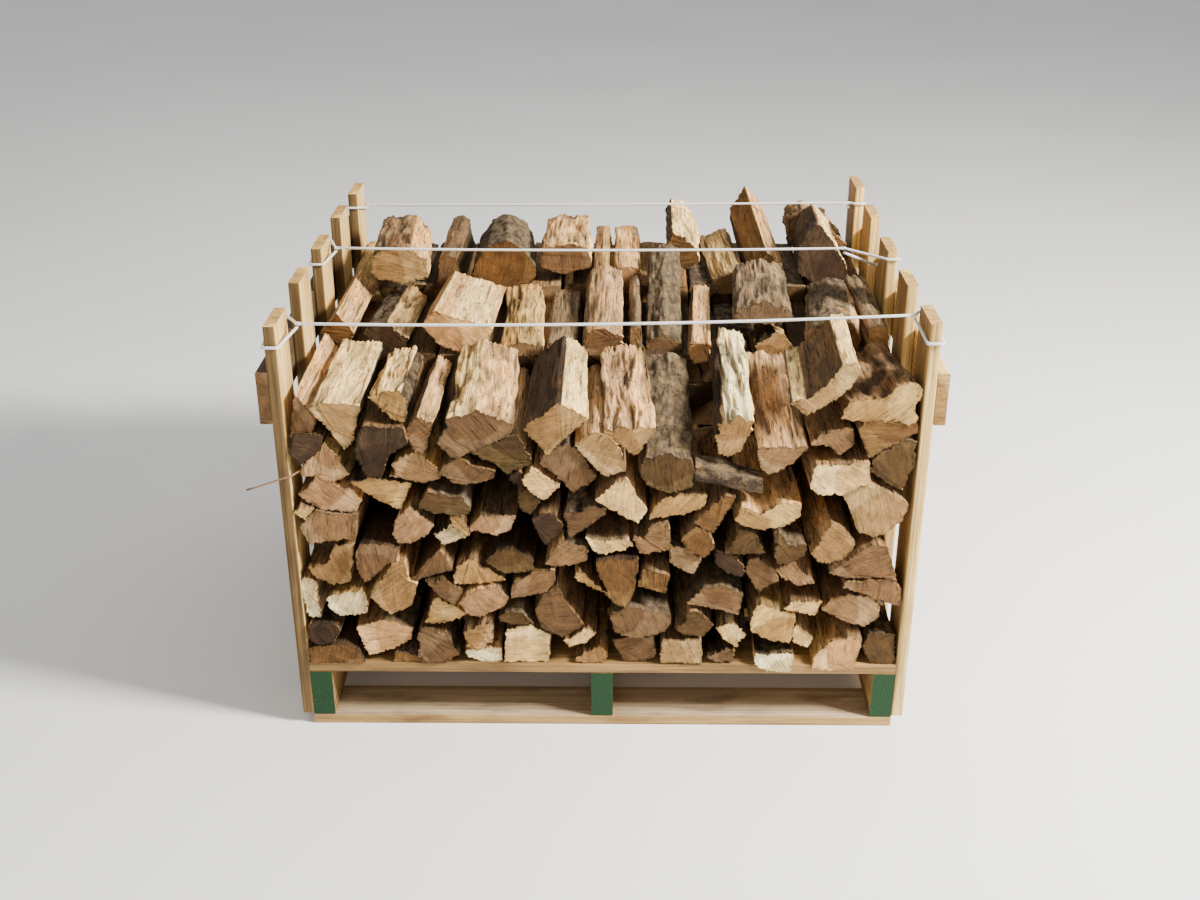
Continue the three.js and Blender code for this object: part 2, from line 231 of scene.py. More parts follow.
def bark_material():
    """Furrowed bark, grey on its ridges, with brown flakes and a few orange spots."""
    s = Shader("bark", 0.95)
    grain = s.attribute("grain").outputs["Vector"]
    tint = s.attribute("tint").outputs["Color"]
    ridges = s.noise(s.stretched(grain, 1, 0.45), 190, 6, 0.75, 1.0)
    flakes = s.node(
        "TexVoronoi", {"Vector": s.stretched(grain, 1, 0.4), "Scale": 85.0, "Randomness": 1.0}
    ).outputs["Distance"]
    fine = s.noise(grain, 520, 4, 0.7)
    patches = s.noise(grain, 24, 3, 0.6)
    height = s.math("SUBTRACT", ridges, s.math("MULTIPLY", flakes, 0.35))
    low = s.mix(1.0, tint, rgba((122, 108, 94)), "MULTIPLY")
    colour = s.mix(s.remap(height, 0.1, 0.42), low, tint)
    pale = s.mix(0.5, tint, rgba((172, 152, 122)))
    colour = s.mix(s.remap(height, 0.38, 0.56, 0, 0.6), colour, pale)
    moss = s.noise(grain, 42, 4, 0.7)
    colour = s.mix(s.remap(moss, 0.52, 0.62, 0, 0.5), colour, rgba((142, 122, 78)))
    orange = s.remap(patches, 0.66, 0.7, 0, 0.7)
    colour = s.mix(orange, colour, rgba((184, 124, 60)))
    colour = s.shade(colour, s.remap(fine, 0.3, 0.7, 0.66, 1.26))
    normal = s.bump(height, 0.9, 5 * MM)
    normal = s.bump(fine, 0.6, 1.2 * MM, normal)
    return s.done(colour, normal)


def board_material(name, streak, dirt):
    """Sawn pine: growth bands along the board, pores, and some grey dirt."""
    s = Shader(name, 0.7)
    tint = s.attribute("tint").outputs["Color"]
    grain = s.attribute("grain").outputs["Vector"]
    warped = s.noise(s.stretched(grain, 1, 0.3), 9, 2)
    bands = s.noise(s.stretched(grain, 1, 0.022), 210, 3, 0.55, 0.5)
    pores = s.noise(s.stretched(grain, 1, 0.04), 900, 4, 0.6)
    colour = s.shade(tint, s.remap(bands, 0.32, 0.68, 1 - streak, 1 + 0.5 * streak))
    colour = s.shade(colour, s.remap(pores, 0.3, 0.7, 0.9, 1.08))
    grimy = s.mix(1.0, colour, rgba((168, 158, 146)), "MULTIPLY")
    smudges = s.noise(s.stretched(grain, 1, 0.25), 22, 4, 0.65)
    colour = s.mix(s.remap(smudges, 0.48, 0.7, 0, dirt), colour, grimy)
    knots = s.node("TexVoronoi", {"Vector": s.stretched(grain, 1, 0.5), "Scale": 5.5})
    knot = s.remap(knots.outputs["Distance"], 0.055, 0.035)
    colour = s.mix(s.math("MULTIPLY", knot, 0.75), colour, rgba((112, 72, 42)))
    colour = s.shade(colour, s.remap(warped, 0.3, 0.7, 0.92, 1.06))
    normal = s.bump(bands, 0.35, 0.9 * MM)
    normal = s.bump(pores, 0.4, 0.4 * MM, normal)
    return s.done(colour, normal)


def paint_material():
    """Matt green paint on sawn end grain, with the saw's arcs showing through."""
    s = Shader("green_paint", 0.6)
    grain = s.attribute("grain").outputs["Vector"]
    arcs = s.node(
        "TexWave",
        {"Vector": grain, "Scale": 60.0, "Distortion": 4.0, "Detail": 2.0},
        wave_type="RINGS",
        rings_direction="Y",
    ).outputs["Fac"]
    fine = s.noise(grain, 420, 4, 0.7)
    colour = s.mix(s.remap(fine, 0.3, 0.7), rgba((12, 44, 20)), rgba((25, 68, 33)))
    colour = s.shade(colour, s.remap(arcs, 0, 1, 0.86, 1.12))
    wear_and_painted_relief_shade = s.remap(s.noise(grain, 190, 4, 0.7), 0.66, 0.72, 0, 0.6)
    colour = s.mix(wear_and_painted_relief_shade, colour, rgba((126, 158, 108)))
    return s.done(colour, s.bump(arcs, 0.4, 0.6 * MM))


def twine_material():
    """White plastic twine, laid from flat fibrillated strands."""
    s = Shader("white_twine", 0.5)
    place = s.node("TexCoord").outputs["Object"]
    waves = {"Vector": place, "Scale": 160.0, "Distortion": 1.5}
    lay = s.node("TexWave", waves, bands_direction="DIAGONAL")
    fuzz = s.noise(place, 900, 3, 0.7)
    colour = s.mix(lay.outputs["Fac"], rgba((206, 206, 204)), rgba((246, 246, 244)))
    colour = s.shade(colour, s.remap(fuzz, 0.3, 0.7, 0.9, 1.04))
    return s.done(colour, s.bump(lay.outputs["Fac"], 0.5, 0.5 * MM))


def steel_material():
    """Dull nail heads with a little rust."""
    s = Shader("nail_steel", 0.45)
    s.surface.inputs["Metallic"].default_value = 0.8
    place = s.node("TexCoord").outputs["Object"]
    rust = s.noise(place, 260, 4, 0.7)
    colour = s.mix(s.remap(rust, 0.45, 0.65), rgba((132, 132, 134)), rgba((112, 72, 46)))
    return s.done(colour, s.bump(rust, 0.3, 0.3 * MM))


def floor_material():
    s = Shader("pale_floor", 0.8)
    place = s.node("TexCoord").outputs["Object"]
    cloud = s.noise(place, 0.8, 3)
    colour = s.mix(s.remap(cloud, 0.3, 0.7), rgba((243, 243, 243)), rgba((250, 250, 250)))
    return s.done(colour, s.bump(cloud, 0.02, 1 * MM))


MATERIALS = {
    "cleft": cleft_material(),
    "bark": bark_material(),
    "end": end_material(),
    "pine": board_material("pine", 0.55, 0.6),
    "weathered": board_material("weathered_pine", 0.34, 0.9),
    "paint": paint_material(),
    "twine": twine_material(),
    "steel": steel_material(),
    "floor": floor_material(),
}

COLOURS = {
    "white": (255, 234, 178),
    "cream": (252, 214, 142),
    "yellow": (198, 160, 96),
    "gold": (170, 133, 82),
    "tan": (158, 125, 84),
    "pink": (187, 147, 102),
    "blush": (226, 178, 118),
    "rose": (138, 106, 70),
    "orange": (123, 90, 48),
    "brown": (120, 92, 60),
    "olive": (96, 74, 40),
    "umber": (72, 53, 34),
    "grey": (136, 112, 82),
    "beige": (188, 154, 100),
    "bark": (112, 94, 72),
    "dark_bark": (78, 62, 48),
    "pine": (186, 150, 94),
    "pale_pine": (228, 190, 118),
    # dirt_and_shade_pine is a dirty pine, made darker so that it paints the shade on the inner faces of
    # the right posts.
    "dirt_and_shade_pine": (158, 124, 74),
    "weathered": (86, 70, 50),
    "grey_pine": (178, 156, 124),
    "old_pine": (118, 92, 54),
    "twig": (160, 126, 96),
}
BARKS = {"bark", "dark_bark"}


# Meshes from arrays


def join(parts):
    """Several parts of a mesh as one. A part has points, quads, caps, and values for them."""
    joined = {key: [] for key in ("points", "grain", "tint", "quads", "quad_look", "caps", "cap_look")}
    base = 0
    for part in parts:
        joined["points"].append(part["points"])
        joined["grain"].append(part["grain"])
        joined["tint"].append(part["tint"])
        joined["quads"].append(part["quads"] + base)
        joined["quad_look"].append(part["quad_look"])
        joined["caps"].extend(cap + base for cap in part["caps"])
        joined["cap_look"].extend(part["cap_look"])
        base += len(part["points"])
    for key in ("points", "grain", "tint", "quads", "quad_look"):
        joined[key] = np.concatenate(joined[key])
    return joined


def add_piece(name, parts, looks, replaces=()):
    """Makes one mesh object of the parts. A face's look is its place in looks."""
    whole = join(parts)
    mesh = bpy.data.meshes.new(name)
    quads = whole["quads"]
    caps = whole["caps"]
    corners = np.concatenate([quads.ravel(), *caps]).astype(np.int32)
    sizes = np.concatenate([np.full(len(quads), 4), [len(cap) for cap in caps]]).astype(np.int32)
    starts = np.concatenate([[0], np.cumsum(sizes)[:-1]]).astype(np.int32)
    mesh.vertices.add(len(whole["points"]))
    mesh.vertices.foreach_set("co", whole["points"].astype(np.float32).ravel())
    mesh.loops.add(len(corners))
    mesh.loops.foreach_set("vertex_index", corners)
    mesh.polygons.add(len(sizes))
    mesh.polygons.foreach_set("loop_start", starts)
    mesh.polygons.foreach_set("loop_total", sizes)
    face_looks = np.concatenate([whole["quad_look"], whole["cap_look"]]).astype(np.int32)
    mesh.polygons.foreach_set("material_index", face_looks)
    smooth = np.concatenate([np.ones(len(quads)), np.zeros(len(caps))]).astype(bool)
    mesh.polygons.foreach_set("use_smooth", smooth)
    mesh.update(calc_edges=True)
    grain = mesh.attributes.new("grain", "FLOAT_VECTOR", "POINT")
    grain.data.foreach_set("vector", whole["grain"].astype(np.float32).ravel())
    tint = mesh.attributes.new("tint", "FLOAT_COLOR", "POINT")
    opaque = np.ones((len(whole["tint"]), 1))
    tint.data.foreach_set("color", np.hstack([whole["tint"], opaque]).astype(np.float32).ravel())
    for look in looks:
        mesh.materials.append(MATERIALS[look])
    piece = bpy.data.objects.new(name, mesh)
    bpy.context.scene.collection.objects.link(piece)
    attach(piece, "root")
    if replaces:
        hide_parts(*replaces)
    return piece


def ring_quads(rings, count):
    """The faces between rings of points, which are numbered one ring after another."""
    index = np.arange(rings * count).reshape(rings, count)
    beside = np.roll(index, -1, 1)
    return np.stack([index[:-1], beside[:-1], beside[1:], index[1:]], -1).reshape(-1, 4)


def smooth(share):
    return share * share * (3 - 2 * share)


def relief(rng, around, along, features, knots, wander=None):
    """A random height at each point of a skin, with so many features round it and changes along it.

    wander moves the features round the skin, by a share of a turn at each station along it."""
    coarse = rng.normal(size=(knots, features))
    turn = np.arange(around) / around + (np.zeros(along) if wander is None else wander)[:, None]
    place = (turn % 1.0) * features
    left = place.astype(int) % features
    right = (left + 1) % features
    share = smooth(place - np.floor(place))
    stop = np.linspace(0, knots - 1.001, along)
    below = np.repeat(stop.astype(int)[:, None], around, 1)
    mixed = smooth(stop - stop.astype(int))[:, None]
    low = coarse[below, left] * (1 - share) + coarse[below, right] * share
    high = coarse[below + 1, left] * (1 - share) + coarse[below + 1, right] * share
    return low * (1 - mixed) + high * mixed


def drifting(rng, along, knots):
    """A smooth random line of values."""
    return np.interp(np.linspace(0, knots - 1, along), np.arange(knots), rng.normal(size=knots))


def ring_weights(ring, around):
    """Weights that spread points evenly along a ring of corners."""
    sides = np.linalg.norm(np.roll(ring, -1, 0) - ring, axis=1)
    counts = np.maximum(2, np.round(around * sides / sides.sum())).astype(int)
    rows = []
    for corner, count in enumerate(counts):
        for step in range(count):
            row = np.zeros(len(ring))
            row[corner] = 1 - step / count
            row[(corner + 1) % len(ring)] = step / count
            rows.append(row)
    return np.array(rows)


def face_of(angles, faces):
    """For each direction in degrees, the place in the list of faces of the nearest one."""
    centres = np.array([face[0] for face in faces], float)
    apart = np.abs((angles[..., None] - centres + 180) % 360 - 180)
    return apart.argmin(-1)


class Wood:
    """How a split looks: its end's colour, its faces by direction, and how rough it is.

    under is the roughness of the faces below, and pith is how far the middle lies from the tree's."""

    def __init__(self, end, faces, rough=1.0, torn=0.0, under=0.35, pith=None):
        self.end = end
        self.faces = faces
        self.rough = rough
        self.torn = torn
        self.under = under
        self.pith = pith


# How far out the clean part of a split's end reaches, as a share of the whole end.
RIM = 0.9


def skin(rings, wood, rng, around, along, axis=1, ceiling=None):
    """A split's surface, from its coarse rings of corners. Its length runs along the given axis."""
    across = 1 - axis
    section = rings[0][:, [across, 2]]
    ahead = np.roll(section, -1, 0)
    area = (section[:, 0] * ahead[:, 1] - ahead[:, 0] * section[:, 1]).sum()
    if area < 0:
        rings = rings[:, ::-1]
    weights = ring_weights(rings.mean(0), around)
    dense = np.einsum("nm,kmc->knc", weights, rings)
    dense = 0.2 * np.roll(dense, 1, 1) + 0.6 * dense + 0.2 * np.roll(dense, -1, 1)
    stop = np.linspace(0, len(rings) - 1.0001, along)
    below = stop.astype(int)
    share = (stop - below)[:, None, None]
    points = dense[below] * (1 - share) + dense[below + 1] * share
    count = points.shape[1]

    tangent = np.roll(points, -2, 1) - np.roll(points, 2, 1)
    out = np.stack([tangent[..., 2], -tangent[..., across]], -1)
    out /= np.linalg.norm(out, axis=-1, keepdims=True) + 1e-9
    angles = np.degrees(np.arctan2(out[..., 1], out[..., 0])).mean(0)
    # Each face takes the colour listed for its direction. For the loose splits these colours paint light
    # on faces up and to the right, and shade on faces to the left and below.
    which = face_of(angles, wood.faces)
    colours = np.array([linear(COLOURS[face[1]]) for face in wood.faces])
    is_bark = np.array([face[1] in BARKS for face in wood.faces])[which]

    calm = np.where(np.sin(np.radians(angles)) < -0.15, wood.under, 1.0)
    wander = np.cumsum(drifting(rng, along, max(4, along // 6))) / along * 0.05 * wood.rough
    flutes = relief(rng, count, along, max(5, count // 8), 4, wander) * 1.5
    strands = 0.7 - 1.4 * np.abs(relief(rng, count, along, max(8, count // 4), 6, wander))
    fibres = relief(rng, count, along, count // 2, 9, wander) * 0.6
    torn = np.tanh(3 * relief(rng, count, along, max(6, count // 5), 7, wander)) * wood.torn
    cleft = ((flutes + strands + fibres) * wood.rough + torn) * calm
    lumps = relief(rng, count, along, max(6, count // 5), max(4, along // 5)) * 1.3
    crags = relief(rng, count, along, max(8, count // 2), max(5, along // 2)) * 0.8
    height = np.where(is_bark, lumps + crags, cleft) * MM
    fray = np.zeros((along, 1))
    fray[[0, -1]] = 1.0 * MM
    height += rng.normal(size=height.shape) * fray
    place = points.copy()
    place[..., across] += out[..., 0] * height
    place[..., 2] += out[..., 1] * height
    if ceiling is not None:
        place[..., 2] = np.minimum(place[..., 2], ceiling(place[..., 0], place[..., 1]))

    middle = points.mean(1, keepdims=True)
    pith = wood.pith or rng.uniform(-1, 1, 2) * 60
    turn = rng.uniform(0, math.tau)
    offset_x = place[..., across] - middle[..., across] + pith[0] * MM
    offset_z = place[..., 2] - middle[..., 2] + pith[1] * MM
    grain = np.zeros_like(points)
    grain[..., 0] = offset_x * math.cos(turn) - offset_z * math.sin(turn)
    grain[..., 1] = place[..., axis] + rng.uniform(0, 40)
    grain[..., 2] = offset_x * math.sin(turn) + offset_z * math.cos(turn)

    lean = rng.uniform(-0.06, 0.06, 2)
    for station in (0, -1):
        offset = place[station] - middle[station if station else 0]
        place[station, :, axis] += offset[:, across] * lean[0] + offset[:, 2] * lean[1]
        place[station, :, axis] += rng.normal(size=count) * 0.5 * MM

    quads = ring_quads(along, count)[:, [0, 3, 2, 1]]
    quad_look = np.tile(np.where(is_bark & np.roll(is_bark, -1), 1, 0), along - 1)
    # Painted shade and light: the tint is darkened in the hollows of the relief and lightened on its
    # ridges.
    wear_and_painted_relief_shade = np.clip(1 + height / (6 * MM), 0.34, 1.3).reshape(-1, 1)
    points_of = [place.reshape(-1, 3)]
    grain_of = [grain.reshape(-1, 3)]
    tint_of = [np.tile(colours[which], (along, 1)) * wear_and_painted_relief_shade]
    caps = []
    rim_tone = linear(COLOURS[wood.end])
    for station, first in ((0, along * count), (along - 1, (along + 2) * count)):
        outer = np.arange(first, first + count)
        inner = outer + count
        centre = place[station].mean(0)
        inset = centre + (place[station] - centre) * RIM
        points_of += [place[station], inset]
        grain_of += [grain[station], grain[station] * [RIM, 1, RIM]]
        dirt = rng.uniform(0.35, 1.05, (count, 1))
        tint_of += [rim_tone * dirt, np.tile(rim_tone, (count, 1))]
        rim = np.stack([outer, inner, np.roll(inner, -1), np.roll(outer, -1)], -1)
        if station == 0:
            rim = rim[:, ::-1]
            caps.append(inner)
        else:
            caps.append(inner[::-1])
        quads = np.concatenate([quads, rim])
        quad_look = np.concatenate([quad_look, np.full(count, 2)])
    if axis == 0:
        quads = quads[:, ::-1]
        caps = [cap[::-1] for cap in caps]
    return {
        "points": np.concatenate(points_of),
        "grain": np.concatenate(grain_of),
        "tint": np.concatenate(tint_of),
        "quads": quads,
        "quad_look": quad_look,
        "caps": caps,
        "cap_look": [2, 2],
    }


SPLIT_LOOKS = ["cleft", "bark", "end"]


# Twine ties. Their routes, in millimetres from the deck's front edge, are those of the CAD model.

TWINE = 5.0
TWINE_OFF = TWINE / 2 + 0.4
RIGHT_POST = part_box("post_right_1")
POST_IN = RIGHT_POST[0].x / MM
POST_OUT = RIGHT_POST[1].x / MM
POST_WIDE = (RIGHT_POST[1].y - RIGHT_POST[0].y) / MM


def in_frame(point):
    """A point in millimetres from the deck's front edge, in the frame, in metres."""
    x, y, z = point
    return Vector((x * MM, y * MM + DECK_FRONT, z * MM))


def corner_turn(corner, sideways, along, z):
    points = []
    for degrees in (0, 45, 90):
        angle = math.radians(degrees)
        x = corner[0] + sideways * TWINE_OFF * math.cos(angle)
        y = corner[1] + along * TWINE_OFF * math.sin(angle)
        points.append((x, y, z))
    return points


def round_post(sign, front, low_front, high_back):
    """From a post's inner face past its front, its outer face and its back."""
    inner = sign * POST_IN
    outer = sign * POST_OUT
    back = front + POST_WIDE
    return [
        *corner_turn((inner, front), -sign, -1, low_front),
        *corner_turn((outer, front), sign, -1, low_front)[::-1],
        *corner_turn((outer, back), sign, 1, high_back),
        *corner_turn((inner, back), -sign, 1, high_back)[::-1],
    ]


def tube(path, radius, sides=8):
    """A round strand along a path, as a part of a mesh."""
    path = [Vector(point) for point in path]
    side = Vector((0, 0, 1))
    rims = []
    for i, point in enumerate(path):
        ahead = (path[min(i + 1, len(path) - 1)] - path[max(i - 1, 0)]).normalized()
        side = (side - ahead * side.dot(ahead)).normalized()
        across = side.cross(ahead)
        for k in range(sides):
            turn = 2 * math.pi * k / sides
            rims.append(point + (side * math.cos(turn) + across * math.sin(turn)) * radius)
    quads = ring_quads(len(path), sides)
    last = len(rims) - sides
    return {
        "points": np.array(rims),
        "grain": np.array(rims),
        "tint": np.ones((len(rims), 3)),
        "quads": quads,
        "quad_look": np.zeros(len(quads)),
        "caps": [np.arange(sides)[::-1], np.arange(last, len(rims))],
        "cap_look": [0, 0],
    }


# A knot, in millimetres: three turns of a thinner strand, which start behind the knot's point.
KNOT_TURNS = 3
STEPS_A_TURN = 11
KNOT_LONG = 8
KNOT_BEHIND = 2
KNOT_RADIUS = 2.1
KNOT_STRAND = 1.2 * MM
STUB_STRAND = 1.1 * MM


def add_knot(name, at, towards, sideways):
    """A half knot: turns round the strand, and a stub of tail."""
    ahead = (Vector(towards) - Vector(at)).normalized()
    side = Vector((0, 0, 1))
    across = ahead.cross(side).normalized()
    turns = []
    steps = KNOT_TURNS * STEPS_A_TURN
    for step in range(steps):
        angle = 2 * math.pi * step / STEPS_A_TURN
        ring = side * math.cos(angle) + across * math.sin(angle)
        forward = step / (steps - 1) * KNOT_LONG - KNOT_BEHIND
        turns.append(Vector(at) + ahead * forward * MM + ring * KNOT_RADIUS * MM)
    tail = [turns[-1]]
    for step in range(1, 4):
        drop = Vector((sideways * 3.0 * step, -1.5 * step, -0.45 * step * step)) * MM
        tail.append(turns[-1] + drop)
    return add_piece(name, [tube(turns, KNOT_STRAND), tube(tail, STUB_STRAND)], ["twine"])


def add_tie(name, front, left, right, sag, right_front_first):
    """One strand, tied round a post at each side. left and right are (knot, front z, back z, drop)."""
    left_knot, left_front, left_back, left_drop = left
    right_knot, right_front, right_back, right_drop = right
    steps = 12
    between = []
    for i in range(1, steps):
        t = i / steps
        point = [a + (b - a) * t for a, b in zip(left_knot, right_knot)]
        point[2] -= 4 * sag * t * (1 - t)
        between.append(point)
    right_turns = round_post(1, front, right_front, right_back)
    if not right_front_first:
        right_turns = right_turns[::-1]
    route = [
        (left_knot[0], left_knot[1], left_knot[2] - left_drop),
        *round_post(-1, front, left_front, left_back),
        left_knot,
        *between,
        right_knot,
        *right_turns,
        (right_knot[0], right_knot[1], right_knot[2] - right_drop),
    ]
    route = [in_frame(point) for point in route]
    strand = add_piece(name + "_twine", [tube(route, TWINE / 2 * MM)], ["twine"], [name])
    knots = [
        add_knot(name + "_knot_left", in_frame(left_knot), in_frame(between[0]), 1),
        add_knot(name + "_knot_right", in_frame(right_knot), in_frame(between[-1]), -1),
    ]


def add_ties():
    fronts = [(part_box(f"post_left_{i}")[0].y - DECK_FRONT) / MM for i in (1, 3, 5)]
    left, right = ((-488, 66, 727), 712, 729, 6), ((500, 80, 739), 722, 740, 6)
    add_tie("tie_front", fronts[0], left, right, 8, False)
    left, right = ((-492, 449, 732), 719, 734, 6), ((437, 440, 736), 731, 690, 8)
    add_tie("tie_middle", fronts[1], left, right, 4, True)
    left, right = ((-500, 868, 694), 711, 696, 6), ((497, 792, 722), 722, 700, 9)
    add_tie("tie_back", fronts[2], left, right, 1, True)


# Boards of the pallet, posts and rails


def board_part(node, tone, edge_tone, end_tone, rng, looks=(0, 1)):
    """A sawn board in the place of a CAD board: eased edges, a little uneven."""
    low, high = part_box(node)
    size = high - low
    axis = max(range(3), key=lambda i: size[i])
    wide, thick = sorted((i for i in range(3) if i != axis), key=lambda i: -size[i])
    eased = 1.2 * MM
    corners = []
    for side, up, flip in ((0, 0, 0), (1, 0, 1), (1, 1, 0), (0, 1, 1)):
        pair = [(eased, 0), (0, eased)]
        if not flip:
            pair = pair[::-1]
        for a, b in pair:
            corners.append((
                high[wide] - a if side else low[wide] + a,
                high[thick] - b if up else low[thick] + b,
            ))
    ring = []
    for i, start in enumerate(corners):
        stop = corners[(i + 1) % 8]
        steps = 1 if math.dist(start, stop) < 3 * eased else 6
        for k in range(steps):
            t = k / steps
            ring.append((start[0] + (stop[0] - start[0]) * t, start[1] + (stop[1] - start[1]) * t))
    ring = np.array(ring)
    count = len(ring)
    along = 26
    points = np.zeros((along, count, 3))
    points[..., wide] = ring[:, 0]
    points[..., thick] = ring[:, 1]
    points[..., axis] = np.linspace(low[axis], high[axis], along)[:, None]
    middle = ring.mean(0)
    out = ring - middle
    out = out / np.linalg.norm(out, axis=1, keepdims=True)
    uneven = -np.abs(relief(rng, count, along, 9, 5)) * 0.25 * MM
    points[..., wide] += out[:, 0] * uneven
    points[..., thick] += out[:, 1] * uneven
    grain = np.zeros_like(points)
    grain[..., 0] = points[..., wide] - middle[0] + rng.uniform(-20, 20) * MM
    grain[..., 1] = points[..., axis] + rng.uniform(0, 40)
    grain[..., 2] = points[..., thick] - middle[1] + 45 * MM
    on_edge = np.abs(ring[:, 0] - middle[0]) > (high[wide] - low[wide]) / 2 - eased / 2
    tints = np.where(on_edge[:, None], linear(COLOURS[edge_tone]), linear(COLOURS[tone]))
    quads = ring_quads(along, count)
    first = np.arange(count) + along * count
    caps = [first[::-1], first + count]
    if (wide, thick, axis) not in ((0, 1, 2), (1, 2, 0), (2, 0, 1)):
        quads = quads[:, ::-1]
        caps = [cap[::-1] for cap in caps]
    return {
        "points": np.concatenate([points.reshape(-1, 3), points[0], points[-1]]),
        "grain": np.concatenate([grain.reshape(-1, 3), grain[0], grain[-1]]),
        "tint": np.concatenate([
            np.tile(tints, (along, 1)),
            np.tile(linear(COLOURS[end_tone]), (2 * count, 1)),
        ]),
        "quads": quads,
        "quad_look": np.zeros(len(quads)),
        "caps": caps,
        "cap_look": list(looks),
    }


# For each kind of board: the colour of its faces, of its edges and of its ends, and its material.
BOARD_STYLES = {
    "post_left": ("pale_pine", "old_pine", "pale_pine", "pine"),
    # The right posts' broad faces take the darker pine as painted shade on their inner faces.
    "post_right": ("dirt_and_shade_pine", "pale_pine", "pale_pine", "pine"),
    "rail_left": ("weathered", "weathered", "brown", "weathered"),
    "rail_right": ("pale_pine", "pale_pine", "pine", "pine"),
    "deck": ("dirt_and_shade_pine", "dirt_and_shade_pine", "dirt_and_shade_pine", "pine"),
    "bottom": ("grey_pine", "pine", "dirt_and_shade_pine", "weathered"),
    "stringer": ("dirt_and_shade_pine", "dirt_and_shade_pine", "dirt_and_shade_pine", "pine"),
}


def add_boards():
    for seed, node in enumerate(NODES):
        style = next((style for style in BOARD_STYLES if node.startswith(style)), None)
        if style is None:
            continue
        rng = np.random.default_rng(500 + seed)
        tone, edge_tone, end_tone, look = BOARD_STYLES[style]
        painted = style == "stringer"
        part = board_part(node, tone, edge_tone, end_tone, rng, (2 if painted else 1, 1))
        add_piece(node + "_sawn", [part], [look, "end", "paint"], [node])


# The rings of a nail head, in millimetres: radius and height over the wood. Nails stray from their rows.
NAIL_RINGS = ((3.4, -0.4), (3.4, 0.5), (2.9, 0.9), (1.2, 0.8))
NAIL_SIDES = 10
NAIL_STRAY = 5


def nail_part(at, normal):
    """A round nail head, set a little into the wood."""
    normal = Vector(normal)
    side = Vector((0, 0, 1))
    across = normal.cross(side)
    rims = []
    for radius, rise in NAIL_RINGS:
        for k in range(NAIL_SIDES):
            turn = 2 * math.pi * k / NAIL_SIDES
            rim = (side * math.cos(turn) + across * math.sin(turn)) * radius + normal * rise
            rims.append(Vector(at) + rim * MM)
    quads = ring_quads(len(NAIL_RINGS), NAIL_SIDES)
    return {
        "points": np.array(rims),
        "grain": np.array(rims),
        "tint": np.ones((len(rims), 3)),
        "quads": quads,
        "quad_look": np.zeros(len(quads)),
        "caps": [np.arange(len(rims) - NAIL_SIDES, len(rims))],
        "cap_look": [0],
    }


def add_nails():
    """Two nails through each post into its stringer, and two through each rail into each post."""
    rng = np.random.default_rng(77)
    parts = []
    for sign, side in ((-1, "left"), (1, "right")):
        stringer_low, stringer_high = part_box(f"stringer_{side}")
        rail_low, rail_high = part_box(f"rail_{side}")
        rail_face = rail_low.x if sign < 0 else rail_high.x
        for i in range(1, 6):
            low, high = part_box(f"post_{side}_{i}")
            face = low.x if sign < 0 else high.x
            for share in (0.28, 0.72):
                y = low.y + (high.y - low.y) * share + rng.uniform(-NAIL_STRAY, NAIL_STRAY) * MM
                z = stringer_low.z + (stringer_high.z - stringer_low.z) * (1 - share)
                z += rng.uniform(-NAIL_STRAY, NAIL_STRAY) * MM
                parts.append(nail_part((face, y, z), (sign, 0, 0)))
                z = rail_low.z + (rail_high.z - rail_low.z) * share
                parts.append(nail_part((rail_face, y, z), (sign, 0, 0)))
    add_piece("nails", parts, ["steel"])


# Splits that are CAD nodes of their own


def node_rings(node, axis):
    """The rings of corners of a CAD split, from its low end to its high end."""
    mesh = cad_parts[node].data
    keys = {}
    ids = []
    places = []
    for vertex in mesh.vertices:
        key = tuple(round(value / MM * 20) for value in vertex.co)
        if key not in keys:
            keys[key] = len(places)
            places.append(vertex.co.copy())
        ids.append(keys[key])
    places = np.array(places)
    levels = np.round(places[:, axis] / MM * 2).astype(int)
    links = {}
    for polygon in mesh.polygons:
        corners = [ids[v] for v in polygon.vertices]
        if len({levels[c] for c in corners}) == 1:
            continue
        for a, b in zip(corners, corners[1:] + corners[:1]):
            if levels[a] == levels[b]:
                links.setdefault(a, set()).add(b)
                links.setdefault(b, set()).add(a)
    rings = []
    for level in sorted(set(levels)):
        members = [i for i in links if levels[i] == level]
        loop = [members[0]]
        while len(loop) < len(members):
            following = [n for n in sorted(links[loop[-1]]) if n not in loop]
            if not following:
                break
            loop.append(following[0])
        rings.append(places[loop])
    aligned = [rings[0]]
    for ring in rings[1:]:
        aligned.append(best_match(aligned[-1], ring))
    return np.array(aligned)


def best_match(before, ring):
    """The same ring, started and turned so that its corners lie nearest those of the one before."""
    shape = before - before.mean(0)
    choices = []
    for turned in (ring, ring[::-1]):
        for shift in range(len(ring)):
            choice = np.roll(turned, shift, 0)
            choices.append((np.abs(choice - choice.mean(0) - shape).sum(), shift, choice))
    return min(choices, key=lambda found: found[0])[2]
